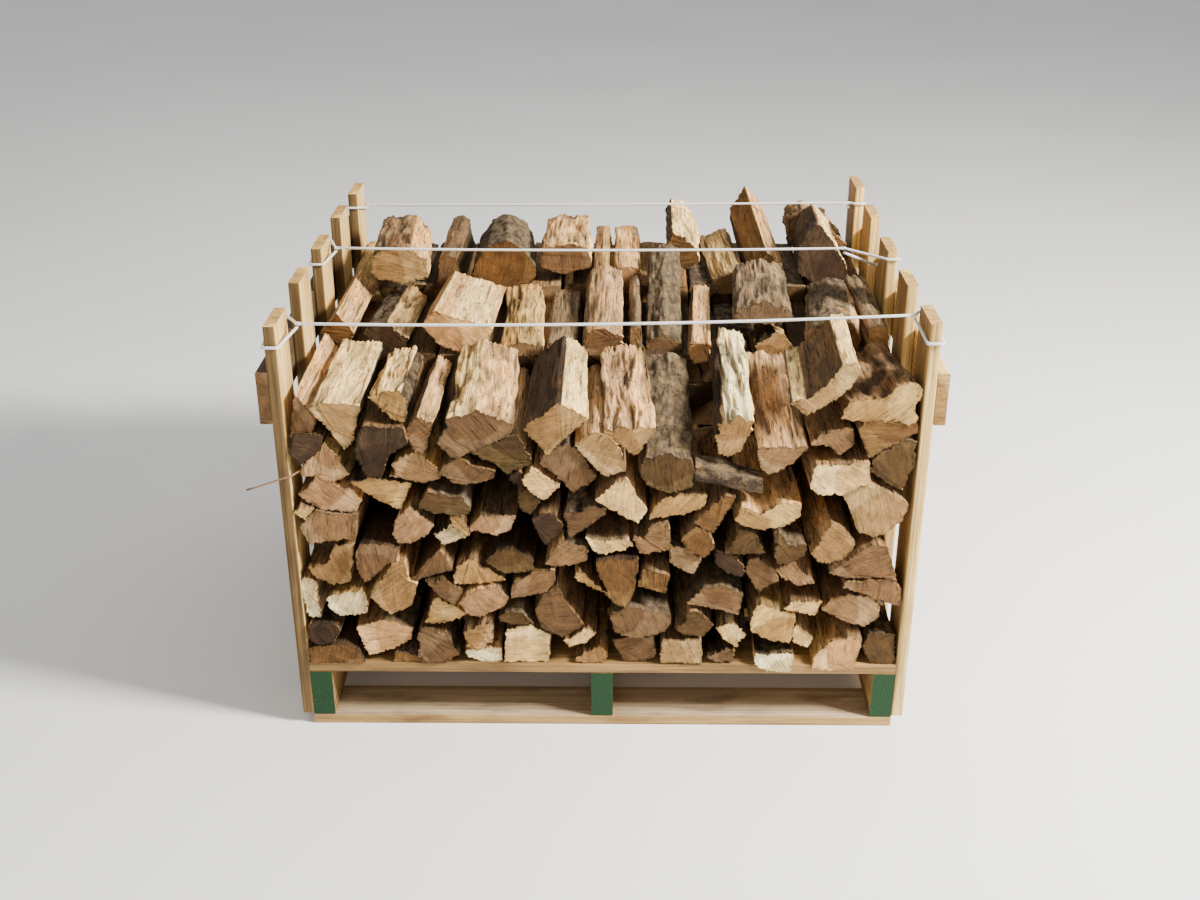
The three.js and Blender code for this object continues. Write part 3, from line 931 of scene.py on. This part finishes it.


# Faces are (direction in degrees, colour): 0 is to the right and 90 is up. In the tables below the colours
# are partly the wood's own tones and partly painted light and shade: faces that point up and to the right,
# towards the key light, are given pale colours as painted light, and faces that point left and down are
# given dark ones as painted shade.
LOOSE_SPLITS = {
    "split_front_1": Wood("rose", [(150, "pink"), (30, "blush"), (240, "rose"), (300, "brown")], 0.7),
    "split_front_2": Wood(
        "beige", [(120, "pink"), (80, "cream"), (50, "white"), (-20, "bark"), (220, "rose")], 1.1, 0.8
    ),
    "split_front_3": Wood(
        "yellow", [(90, "cream"), (150, "yellow"), (0, "dark_bark"), (270, "tan")], 1.4, 1.2
    ),
    "split_front_4": Wood("rose", [(90, "pink"), (60, "blush"), (180, "rose"), (330, "brown")], 1.1, 0.9),
    "split_front_5": Wood(
        "brown", [(110, "cream"), (75, "blush"), (50, "pink"), (180, "umber"), (270, "brown")], 1.5, 1.7
    ),
    "split_front_6": Wood(
        "gold", [(120, "umber"), (45, "cream"), (210, "brown"), (320, "brown")], 0.9, 0.8, pith=(58, -8)
    ),
    "split_front_7": Wood(
        "gold",
        [(110, "pink"), (70, "blush"), (30, "cream"), (200, "rose"), (330, "tan")],
        1.9,
        1.6,
        pith=(56, 20),
    ),
    "split_front_8": Wood("olive", [(90, "bark"), (180, "bark"), (0, "bark"), (270, "umber")], 1.0),
    "split_front_9": Wood(
        "gold",
        [(85, "white"), (40, "cream"), (130, "brown"), (180, "umber"), (270, "brown")],
        1.6,
        2.2,
        pith=(10, -58),
    ),
    "split_front_10": Wood("tan", [(90, "pink"), (200, "brown"), (330, "rose")], 1.4, 1.4),
    "split_front_11": Wood("beige", [(90, "cream"), (140, "brown"), (20, "cream"), (270, "bark")], 0.9),
    "split_front_12": Wood(
        "yellow", [(90, "rose"), (60, "brown"), (200, "brown"), (320, "tan")], 1.6, 1.4, pith=(66, 0)
    ),
    "split_middle_1": Wood("orange", [(60, "blush"), (130, "pink"), (230, "brown"), (320, "tan")], 0.6),
    "split_middle_2": Wood(
        "umber", [(100, "dark_bark"), (40, "beige"), (180, "grey"), (280, "umber")], 1.4, 1.2
    ),
    "split_middle_3": Wood("blush", [(90, "cream"), (50, "blush"), (140, "pink"), (270, "tan")], 0.5),
    "split_middle_4": Wood(
        "rose", [(90, "yellow"), (20, "blush"), (160, "grey"), (270, "brown")], 1.4, 1.0
    ),
    "split_middle_5": Wood("rose", [(90, "pink"), (30, "blush"), (180, "grey"), (270, "brown")], 0.9),
    "split_middle_6": Wood("brown", [(90, "bark"), (180, "dark_bark"), (0, "bark"), (270, "umber")], 1.0),
    "split_middle_7": Wood("blush", [(90, "blush"), (0, "cream"), (180, "rose"), (270, "tan")], 0.5),
    "split_middle_8": Wood("grey", [(90, "grey"), (20, "bark"), (180, "bark"), (270, "brown")], 1.3, 0.8),
    "split_middle_9": Wood(
        "gold", [(60, "yellow"), (130, "olive"), (230, "brown"), (320, "tan")], 1.4, 1.2
    ),
    "split_middle_10": Wood(
        "rose", [(90, "bark"), (30, "pink"), (180, "grey"), (270, "brown")], 1.4, 1.0
    ),
    "split_back_1": Wood("beige", [(90, "rose"), (40, "blush"), (150, "grey"), (270, "brown")], 1.3, 1.8),
    "split_back_2": Wood("orange", [(90, "bark"), (180, "dark_bark"), (0, "bark"), (270, "umber")], 1.2),
    "split_back_3": Wood("rose", [(90, "blush"), (30, "cream"), (180, "rose"), (270, "brown")], 1.4, 1.0),
    "split_back_4": Wood(
        "orange", [(60, "cream"), (150, "dark_bark"), (220, "umber"), (320, "cream")], 1.2, 1.0
    ),
    "split_back_5": Wood("tan", [(90, "beige"), (40, "tan"), (180, "bark"), (270, "brown")], 1.2, 0.8),
    "split_back_6": Wood("tan", [(130, "orange"), (40, "blush"), (220, "umber"), (320, "rose")], 0.7, 0.4),
    "split_back_7": Wood(
        "umber", [(140, "umber"), (40, "cream"), (80, "blush"), (270, "umber")], 0.8, 0.8
    ),
    "split_back_8": Wood("brown", [(130, "brown"), (50, "beige"), (0, "tan"), (270, "umber")], 1.4, 1.6),
}
BRANCH = Wood("gold", [(90, "bark"), (180, "dark_bark"), (0, "bark"), (270, "dark_bark")])


def add_loose_splits():
    for seed, (node, wood) in enumerate(LOOSE_SPLITS.items()):
        rng = np.random.default_rng(seed)
        part = skin(node_rings(node, 1), wood, rng, 112, 50)
        add_piece(node + "_cleft", [part], SPLIT_LOOKS, [node])
    branch = skin(node_rings("split_front_8_branch", 0), BRANCH, np.random.default_rng(90), 48, 24, axis=0)
    add_piece("split_front_8_branch_cleft", [branch], SPLIT_LOOKS, ["split_front_8_branch"])


# Rows of stacked splits


class Ceiling:
    """How high a row may reach at each place, looked up on a grid over the row."""

    STEPS = (160, 24)

    def __init__(self, row, nodes, upward, cap=1.0):
        """Upward finds the undersides of the nodes over the row. Otherwise it finds their tops."""
        corners = []
        faces = []
        for node in nodes:
            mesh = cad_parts[node].data
            base = len(corners)
            corners += [vertex.co.copy() for vertex in mesh.vertices]
            faces += [[v + base for v in polygon.vertices] for polygon in mesh.polygons]
        tree = BVHTree.FromPolygons(corners, faces)
        start, way = (DECK_TOP + 0.15, 1) if upward else (2.0, -1)
        low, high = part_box(row)
        self.low = low
        self.pitch = ((high.x - low.x) / self.STEPS[0], (high.y - low.y) / self.STEPS[1])
        self.heights = np.full((self.STEPS[0] + 1, self.STEPS[1] + 1), cap if upward else DECK_TOP)
        for i in range(self.STEPS[0] + 1):
            for j in range(self.STEPS[1] + 1):
                x = min(max(low.x + i * self.pitch[0], low.x + MM), high.x - MM)
                y = min(max(low.y + j * self.pitch[1], low.y + MM), high.y - MM)
                hit = tree.ray_cast(Vector((x, y, start)), Vector((0, 0, way)))[0]
                if hit is not None:
                    self.heights[i, j] = min(hit.z - way * MM, cap)

    def __call__(self, x, y):
        i = np.clip(np.round((x - self.low.x) / self.pitch[0]), 0, self.STEPS[0]).astype(int)
        j = np.clip(np.round((y - self.low.y) / self.pitch[1]), 0, self.STEPS[1]).astype(int)
        return self.heights[i, j]


def split_rings(outline, start, end, drift, shrink):
    """Four rings from a front outline in metres to its moved and scaled copy at the back."""
    outline = np.array(outline)
    centre = outline.mean(0)
    rings = []
    for t in (0, 1 / 3, 2 / 3, 1):
        size = 1 + (shrink - 1) * t + 0.03 * math.sin(math.pi * t)
        section = centre + (outline - centre) * size + np.array(drift) * t
        ring = np.zeros((len(outline), 3))
        ring[:, 0] = section[:, 0]
        ring[:, 1] = start + (end - start) * t
        ring[:, 2] = section[:, 1]
        rings.append(ring)
    return np.array(rings)


PALE_SIDES = ["pink", "blush", "tan", "yellow", "rose", "grey"]
DARK_SIDES = ["tan", "rose", "brown", "olive", "grey", "umber"]
DARK_ENDS = {"umber", "brown", "olive", "orange", "rose"}
END_TONES = ["tan", "tan", "rose", "brown", "olive", "gold", "cream", "umber", "grey", "yellow"]


def row_wood(end, rng, bark=None):
    """The look of a stacked split: two or three cleft faces, and bark on one side if it has any."""
    turn = rng.uniform(0, 360)
    tones = DARK_SIDES if end in DARK_ENDS else PALE_SIDES
    faces = [(turn + step * 120, str(rng.choice(tones))) for step in range(3)]
    if bark is not None:
        faces = [face for face in faces if abs((face[0] - bark + 180) % 360 - 180) > 50]
        faces.append((bark, str(rng.choice(["bark", "dark_bark"]))))
    return Wood(end, faces, rng.uniform(0.5, 1.1), rng.uniform(0, 0.8), 0.4)


# The front ends of the front row, in millimetres: the end's colour, the direction of its bark if it has
# any, and its corners as x from the middle and height above the deck.
FRONT_ROW = [
    # The first end is dark umber as painted shade, for the shadow below split_front_1's end.
    ("umber", None, [(-497, 438), (-450, 432), (-452, 408), (-490, 378), (-505, 400)]),
    ("pink", None, [(-448, 418), (-408, 362), (-438, 346), (-466, 360), (-490, 354), (-494, 370)]),
    ("umber", 200, [(-386, 450), (-318, 450), (-312, 420), (-344, 400), (-358, 358), (-382, 358),
        (-399, 400)]),
    ("tan", None, [(-348, 360), (-333, 366), (-340, 380), (-312, 400), (-292, 400), (-272, 374),
        (-262, 358), (-289, 348)]),
    ("brown", 300, [(-266, 368), (-236, 396), (-210, 379), (-173, 370), (-178, 360), (-216, 346),
        (-240, 348)]),
    ("pink", None, [(-498, 324), (-482, 336), (-465, 360), (-445, 352), (-428, 337), (-410, 340),
        (-396, 314), (-406, 293), (-458, 296), (-484, 310)]),
    ("yellow", 70, [(-412, 350), (-368, 358), (-328, 345), (-312, 344), (-332, 296), (-358, 310),
        (-388, 332)]),
    ("olive", 90, [(-298, 308), (-284, 334), (-246, 326), (-228, 324), (-215, 294), (-238, 290),
        (-276, 296)]),
    ("pink", None, [(-222, 260), (-200, 286), (-142, 284), (-152, 257), (-176, 250), (-194, 256)]),
    ("pink", None, [(-336, 292), (-314, 308), (-278, 271), (-292, 252), (-310, 241), (-338, 238),
        (-346, 257)]),
    ("white", None, [(-280, 253), (-251, 270), (-224, 248), (-264, 232)]),
    ("yellow", None, [(-250, 292), (-237, 288), (-218, 254), (-226, 250), (-248, 272)]),
    ("cream", None, [(-508, 292), (-496, 308), (-474, 300), (-490, 282)]),
    ("tan", 250, [(-487, 282), (-472, 297), (-452, 291), (-403, 289), (-410, 242), (-450, 240),
        (-488, 232), (-500, 266)]),
    ("rose", None, [(-408, 224), (-400, 240), (-366, 240), (-338, 231), (-342, 206), (-356, 202),
        (-382, 178), (-398, 163), (-412, 196)]),
    ("gold", 230, [(-496, 190), (-472, 192), (-458, 200), (-446, 233), (-413, 231), (-424, 162),
        (-456, 156), (-484, 170)]),
    ("brown", None, [(-322, 164), (-294, 200), (-272, 222), (-250, 182), (-278, 175), (-312, 163)]),
    ("yellow", None, [(-250, 166), (-242, 192), (-220, 208), (-163, 163), (-184, 158), (-248, 156)]),
    ("olive", None, [(-196, 198), (-180, 220), (-148, 228), (-114, 199), (-114, 184), (-130, 180),
        (-166, 176), (-186, 190)]),
    ("olive", None, [(-218, 404), (-192, 430), (-174, 421), (-137, 436), (-114, 396), (-116, 381),
        (-154, 364), (-176, 384)]),
    ("brown", 90, [(-102, 383), (-94, 398), (-56, 418), (-38, 406), (-6, 363), (-12, 352), (-48, 331),
        (-66, 354)]),
    ("beige", None, [(-44, 419), (-26, 433), (-10, 443), (16, 432), (32, 404), (40, 375), (6, 361),
        (-30, 398)]),
    ("cream", None, [(-132, 355), (-116, 376), (-68, 346), (-93, 319), (-110, 328)]),
    ("umber", 120, [(-152, 352), (-136, 372), (-117, 342), (-130, 338)]),
    ("olive", None, [(-140, 324), (-122, 339), (-101, 318), (-116, 293), (-132, 296)]),
    ("umber", None, [(-116, 284), (-100, 296), (-77, 292), (-66, 270), (-72, 254), (-92, 234),
        (-100, 244)]),
    ("brown", 100, [(-62, 292), (-12, 309), (8, 304), (4, 291), (-26, 266), (-54, 245)]),
    ("cream", None, [(-12, 320), (16, 346), (40, 358), (52, 336), (56, 324), (74, 299), (60, 277),
        (44, 284)]),
    ("cream", 270, [(-29, 248), (6, 242), (38, 247), (53, 234), (34, 224), (-9, 216)]),
    ("tan", 30, [(-96, 194), (-78, 228), (-64, 252), (-50, 234), (-22, 224), (-24, 205), (-46, 194),
        (-74, 190)]),
    ("orange", None, [(-12, 208), (61, 216), (59, 164), (40, 119), (16, 130), (-4, 180)]),
    ("tan", None, [(50, 250), (70, 245), (77, 272), (110, 281), (111, 225), (63, 218)]),
    ("yellow", None, [(78, 284), (86, 306), (104, 326), (172, 328), (168, 306), (140, 296), (114, 290)]),
    ("orange", None, [(130, 248), (154, 274), (179, 260), (186, 234), (170, 215), (144, 227)]),
    ("tan", 80, [(113, 201), (114, 234), (143, 226), (167, 208), (152, 177), (134, 186)]),
    ("orange", None, [(74, 200), (88, 184), (115, 176), (106, 143), (60, 156)]),
    ("tan", None, [(336, 419), (352, 440), (402, 447), (406, 419), (382, 399), (366, 416)]),
    ("orange", None, [(408, 448), (416, 462), (502, 466), (505, 442), (488, 432), (462, 419), (430, 398)]),
    ("olive", 110, [(432, 377), (438, 398), (482, 430), (504, 426), (500, 381), (488, 341), (456, 356)]),
    ("cream", 270, [(338, 347), (344, 362), (345, 386), (382, 391), (431, 391), (437, 355), (392, 337),
        (358, 331)]),
    ("beige", None, [(392, 332), (440, 353), (468, 340), (500, 316), (496, 286), (472, 258), (450, 250),
        (422, 260), (410, 296)]),
    ("yellow", 250, [(217, 284), (228, 311), (256, 296), (290, 315), (327, 315), (323, 294), (302, 275),
        (264, 268), (229, 274)]),
    ("orange", None, [(154, 283), (174, 302), (202, 332), (219, 328), (202, 296), (184, 261), (168, 270)]),
    ("olive", None, [(206, 220), (228, 265), (241, 265), (258, 256), (272, 221), (250, 218)]),
    ("olive", 60, [(287, 240), (283, 262), (292, 265), (306, 240), (337, 238), (337, 220), (314, 206),
        (291, 201)]),
    ("gold", None, [(346, 220), (362, 252), (378, 279), (400, 267), (421, 240), (404, 211), (380, 203),
        (362, 205)]),
    ("rose", None, [(376, 184), (416, 216), (446, 243), (473, 236), (491, 178), (452, 176), (406, 177)]),
    ("brown", 180, [(243, 183), (244, 206), (260, 211), (286, 188), (296, 167), (266, 145), (257, 155)]),
    ("umber", 100, [(189, 201), (192, 225), (220, 214), (237, 194), (235, 175), (210, 182)]),
    ("tan", None, [(288, 187), (320, 199), (357, 161), (332, 155), (306, 168)]),
    ("rose", None, [(403, 158), (410, 170), (490, 173), (506, 140), (504, 121), (460, 135), (434, 149)]),
    ("rose", 100, [(142, 123), (172, 151), (202, 160), (238, 141), (232, 101), (196, 111)]),
    ("cream", None, [(308, 114), (322, 128), (371, 126), (362, 99), (346, 103)]),
    ("tan", None, [(371, 114), (384, 133), (418, 145), (454, 138), (471, 118), (466, 97), (448, 81),
        (412, 91)]),
    ("yellow", None, [(250, 91), (258, 119), (272, 127), (300, 114), (327, 101), (327, 68), (323, 45),
        (288, 51), (256, 69)]),
    ("cream", None, [(326, 72), (332, 79), (361, 50), (352, 33), (328, 44)]),
    ("cream", 330, [(194, 74), (210, 84), (230, 80), (247, 62), (230, 33), (208, 50)]),
    ("brown", None, [(180, 14), (212, 31), (229, 26), (226, 4), (200, 3)]),
    ("white", 90, [(262, 9), (264, 24), (328, 26), (330, 14), (324, -14), (290, -11), (270, -4)]),
    ("blush", None, [(363, -6), (366, 20), (390, 42), (420, 57), (447, 53), (441, 28), (436, -8),
        (396, -11)]),
    ("olive", 100, [(449, 34), (456, 62), (500, 60), (505, 8), (492, -7), (463, 2)]),
    ("olive", None, [(125, 74), (152, 107), (168, 109), (174, 100), (191, 80), (174, 59), (140, 62)]),
    ("white", None, [(-508, 158), (-503, 168), (-481, 159), (-480, 89), (-501, 89), (-507, 130)]),
    ("white", None, [(-467, 130), (-454, 140), (-403, 147), (-396, 126), (-400, 103), (-444, 97),
        (-462, 110)]),
    ("gold", None, [(-390, 138), (-378, 158), (-357, 189), (-350, 205), (-331, 201), (-327, 166),
        (-311, 158), (-324, 117), (-356, 101), (-382, 122)]),
    ("brown", None, [(-299, 166), (-267, 171), (-237, 144), (-250, 117), (-276, 138)]),
    ("pink", None, [(-242, 126), (-230, 138), (-208, 151), (-182, 155), (-157, 132), (-166, 118),
        (-204, 99), (-226, 103)]),
    ("yellow", None, [(-303, 81), (-284, 135), (-256, 119), (-231, 101), (-254, 87), (-282, 79)]),
    ("blush", 60, [(-421, 70), (-376, 82), (-354, 80), (-325, 66), (-329, 45), (-358, 27), (-401, 15),
        (-412, 35)]),
    ("umber", 60, [(-504, 51), (-498, 81), (-463, 87), (-446, 68), (-461, 43), (-488, 37)]),
    ("orange", None, [(-505, 32), (-476, 38), (-444, 40), (-420, 27), (-407, 3), (-420, 1), (-502, 1)]),
    ("orange", None, [(-356, 21), (-330, 15), (-306, 7), (-296, -5), (-324, -18), (-342, -41),
        (-362, -40)]),
    ("brown", 0, [(-321, 14), (-312, 67), (-300, 73), (-268, 64), (-245, 20), (-262, 6), (-296, 1)]),
    ("gold", 0, [(-237, 64), (-210, 83), (-187, 85), (-189, 45), (-212, 31), (-233, 37)]),
    ("white", None, [(-238, 26), (-174, 27), (-173, -9), (-204, -2), (-233, 12)]),
    ("cream", None, [(-169, 2), (-164, 66), (-140, 70), (-120, 75), (-89, 54), (-91, 2)]),
    ("brown", None, [(-117, 106), (-102, 133), (-75, 157), (-62, 118), (-31, 79), (-68, 53), (-103, 70)]),
    ("cream", None, [(-65, 48), (-23, 73), (-9, 64), (-28, 45), (-56, 35)]),
    ("gold", 180, [(-45, 8), (-32, 24), (-5, 35), (11, 20), (4, -12), (-31, -12)]),
    ("brown", 90, [(15, 95), (17, 107), (44, 117), (113, 107), (119, 94), (110, 73), (60, 57), (21, 67)]),
    ("brown", 0, [(15, 48), (62, 53), (87, 53), (93, 14), (72, 2), (37, 2)]),
    ("beige", None, [(101, 3), (101, 51), (171, 53), (173, 2)]),
    ("rose", None, [(-159, 127), (-150, 157), (-117, 183), (-79, 185), (-77, 165), (-94, 143),
        (-132, 135)]),
    ("olive", 70, [(-177, 84), (-168, 105), (-139, 103), (-117, 79), (-142, 76)]),
    ("yellow", None, [(-40, 185), (-28, 180), (14, 131), (2, 142), (-43, 169)]),
]


def clip(polygon, point, normal):
    """The part of a convex polygon behind a line."""
    kept = []
    for i, a in enumerate(polygon):
        b = polygon[(i + 1) % len(polygon)]
        ahead_a = (a - point) @ normal
        ahead_b = (b - point) @ normal
        if ahead_a <= 0:
            kept.append(a)
        if ahead_a * ahead_b < 0:
            kept.append(a + (b - a) * ahead_a / (ahead_a - ahead_b))
    return kept


def halves(polygon, rng):
    """The two parts of a convex polygon on either side of a line through its middle."""
    middle = np.mean(polygon, 0)
    turn = rng.uniform(0, math.pi)
    normal = np.array([math.cos(turn), math.sin(turn)])
    gap = normal * 1.5 * MM
    return [clip(polygon, middle - gap, normal), clip(polygon, middle + gap, -normal)]


def packed_outlines(low, high, rng, pitch=(84 * MM, 68 * MM)):
    """Sections of splits that fill a rectangle, fitted side by side with gaps between them."""
    seeds = []
    columns = round((high[0] - low[0]) / pitch[0])
    rows = round((high[1] - low[1]) / pitch[1])
    for row in range(rows):
        for column in range(columns):
            shift = 0.5 if row % 2 else 0.0
            x = low[0] + (column + 0.3 + shift + rng.uniform(-0.42, 0.42)) * pitch[0]
            z = low[1] + (row + 0.5 + rng.uniform(-0.4, 0.4)) * (high[1] - low[1]) / rows
            seeds.append((x, z))
    seeds = np.array(seeds)
    weights = rng.uniform(-1, 1, len(seeds)) * (22 * MM) ** 2
    outlines = []
    for i, seed in enumerate(seeds):
        polygon = [np.array(p) for p in (low, (high[0], low[1]), high, (low[0], high[1]))]
        gap = rng.uniform(1, 4) * MM
        for j in np.argsort(np.linalg.norm(seeds - seed, axis=1))[1:16]:
            between = seeds[j] - seed
            far = np.linalg.norm(between)
            normal = between / far
            reach = (far * far + weights[i] - weights[j]) / (2 * far) - gap
            polygon = clip(polygon, seed + normal * reach, normal)
            if len(polygon) < 3:
                break
        if len(polygon) < 3:
            continue
        for part in halves(polygon, rng) if rng.uniform() < 0.4 else [polygon]:
            outline = np.array(part)
            sides = np.linalg.norm(np.roll(outline, -1, 0) - outline, axis=1)
            outline = outline[sides > 7 * MM]
            if len(outline) > 2 and np.ptp(outline, 0).min() > 16 * MM:
                outlines.append(outline)
    return outlines


# Splits that stand up out of the middle and back rows, in millimetres, as x and z of their corners.
PROUD_SPLITS = {
    "middle": [
        ("rose", [(-102, 560), (-99, 603), (-74, 608), (-48, 604), (-45, 560)]),
        ("tan", [(45, 560), (49, 630), (58, 638), (68, 634), (72, 560)]),
        ("blush", [(465, 570), (468, 632), (485, 640), (503, 634), (505, 570)]),
    ],
    "back": [
        ("rose", [(-328, 595), (-322, 664), (-304, 672), (-286, 664), (-279, 595)]),
        ("tan", [(-24, 595), (-20, 646), (-4, 650), (9, 646), (13, 595)]),
        ("pink", [(18, 595), (20, 646), (40, 652), (67, 646), (75, 595)]),
    ],
}


def add_groups(name, parts, size):
    """Joins a row's splits into pieces of a few neighbours each."""
    groups = [parts[i : i + size] for i in range(0, len(parts), size)]
    for i, group in enumerate(groups, 1):
        add_piece(f"{name}_splits_{i:02d}", group, SPLIT_LOOKS, [name])


def add_front_row():
    low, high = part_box("stack_front")
    loose = [node for node in NODES if node.startswith("split_front")]
    ceiling = Ceiling("stack_front", loose, True)
    parts = []
    for seed, (tone, bark, corners) in enumerate(FRONT_ROW):
        rng = np.random.default_rng(200 + seed)
        outline = np.array(corners, float) * MM
        outline[:, 1] += DECK_TOP
        start = low.y + rng.uniform(-5, 9) * MM
        drift = rng.uniform(-5, 5, 2) * MM
        end = high.y + rng.uniform(-14, 0) * MM
        rings = split_rings(outline, start, end, drift, rng.uniform(0.9, 1.02))
        behind = rings[:, :, 1] > DECK_FRONT
        rings[:, :, 2] = np.where(behind, np.maximum(rings[:, :, 2], DECK_TOP), rings[:, :, 2])
        parts.append(skin(rings, row_wood(tone, rng, bark), rng, 80, 20, ceiling=ceiling))
    add_groups("stack_front", parts, 8)


def add_rear_row(row, seed, base, tones):
    node = "stack_" + row
    low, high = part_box(node)
    open_top = Ceiling(node, [node], False)
    capped = Ceiling(node, [node], False, base)
    rng = np.random.default_rng(seed)
    half = min(-low.x, high.x)
    parts = []
    for outline in packed_outlines((-half, DECK_TOP), (half, base), rng):
        top = capped(outline[:, 0], np.full(len(outline), (low.y + high.y) / 2))
        if (top - outline[:, 1].min()).max() < 12 * MM:
            continue
        start = low.y + rng.uniform(0, 8) * MM
        end = high.y + rng.uniform(-14, 4) * MM
        rings = split_rings(outline, start, end, rng.uniform(-3, 3, 2) * MM, rng.uniform(0.95, 1.01))
        bark = rng.uniform(0, 360) if rng.uniform() < 0.35 else None
        wood = row_wood(str(rng.choice(tones)), rng, bark)
        parts.append(skin(rings, wood, rng, 32, 12, ceiling=capped))
    for tone, corners in PROUD_SPLITS[row]:
        rings = split_rings(np.array(corners) * MM, low.y + 4 * MM, high.y - 4 * MM, (0, 0), 1)
        parts.append(skin(rings, row_wood(tone, rng), rng, 72, 30, ceiling=open_top))
    add_groups(node, parts, 10)


def add_twig():
    """A thin twig that sticks out between the posts at the left."""
    knots = [(-470, 40, 497), (-505, -8, 491), (-528, -14, 486), (-552, -18, 479), (-575, -22, 473)]
    path = [in_frame(point) for point in knots]
    twig = tube(path, 1.6 * MM)
    twig["tint"] = np.tile(linear(COLOURS["twig"]), (len(twig["points"]), 1))
    add_piece("twig", [twig], ["cleft"])


# Floor and light


# Each light: name, place, size in metres and power in watts.
LIGHTS = (
    ("key", (2.9, -1.2, 2.7), 0.8, 520),
    ("fill", (-0.8, -3.2, 2.0), 2.5, 18),
    ("overhead", (0.2, 1.4, 3.4), 3.0, 35),
)
LIGHT_COLOUR = (1.0, 0.965, 0.9)
SKY_STRENGTH = 0.48
FLOOR_HALF = 40
LOOK_AT = Vector((0, 0, 0.4))


def add_studio():
    mesh = bpy.data.meshes.new("floor")
    signs = ((-1, -1), (1, -1), (1, 1), (-1, 1))
    mesh.from_pydata([(x * FLOOR_HALF, y * FLOOR_HALF, 0) for x, y in signs], [], [(0, 1, 2, 3)])
    mesh.materials.append(MATERIALS["floor"])
    floor = bpy.data.objects.new("floor", mesh)
    bpy.context.scene.collection.objects.link(floor)
    world = bpy.data.worlds.new("studio")
    world.use_nodes = True
    world.node_tree.nodes["Background"].inputs["Color"].default_value = (1, 1, 1, 1)
    world.node_tree.nodes["Background"].inputs["Strength"].default_value = SKY_STRENGTH
    bpy.context.scene.world = world
    for name, place, size, power in LIGHTS:
        data = bpy.data.lights.new(name, "AREA")
        data.size = size
        data.energy = power
        data.color = LIGHT_COLOUR
        light = bpy.data.objects.new(name, data)
        light.location = place
        aim = LOOK_AT - Vector(place)
        light.rotation_euler = aim.to_track_quat("-Z", "Y").to_euler()
        bpy.context.scene.collection.objects.link(light)


add_camera()
add_ties()
add_boards()
add_nails()
add_loose_splits()
add_front_row()
add_rear_row("middle", 33, 0.582, ["umber", "brown"])
add_rear_row("back", 45, 0.612, END_TONES)
add_twig()
add_studio()
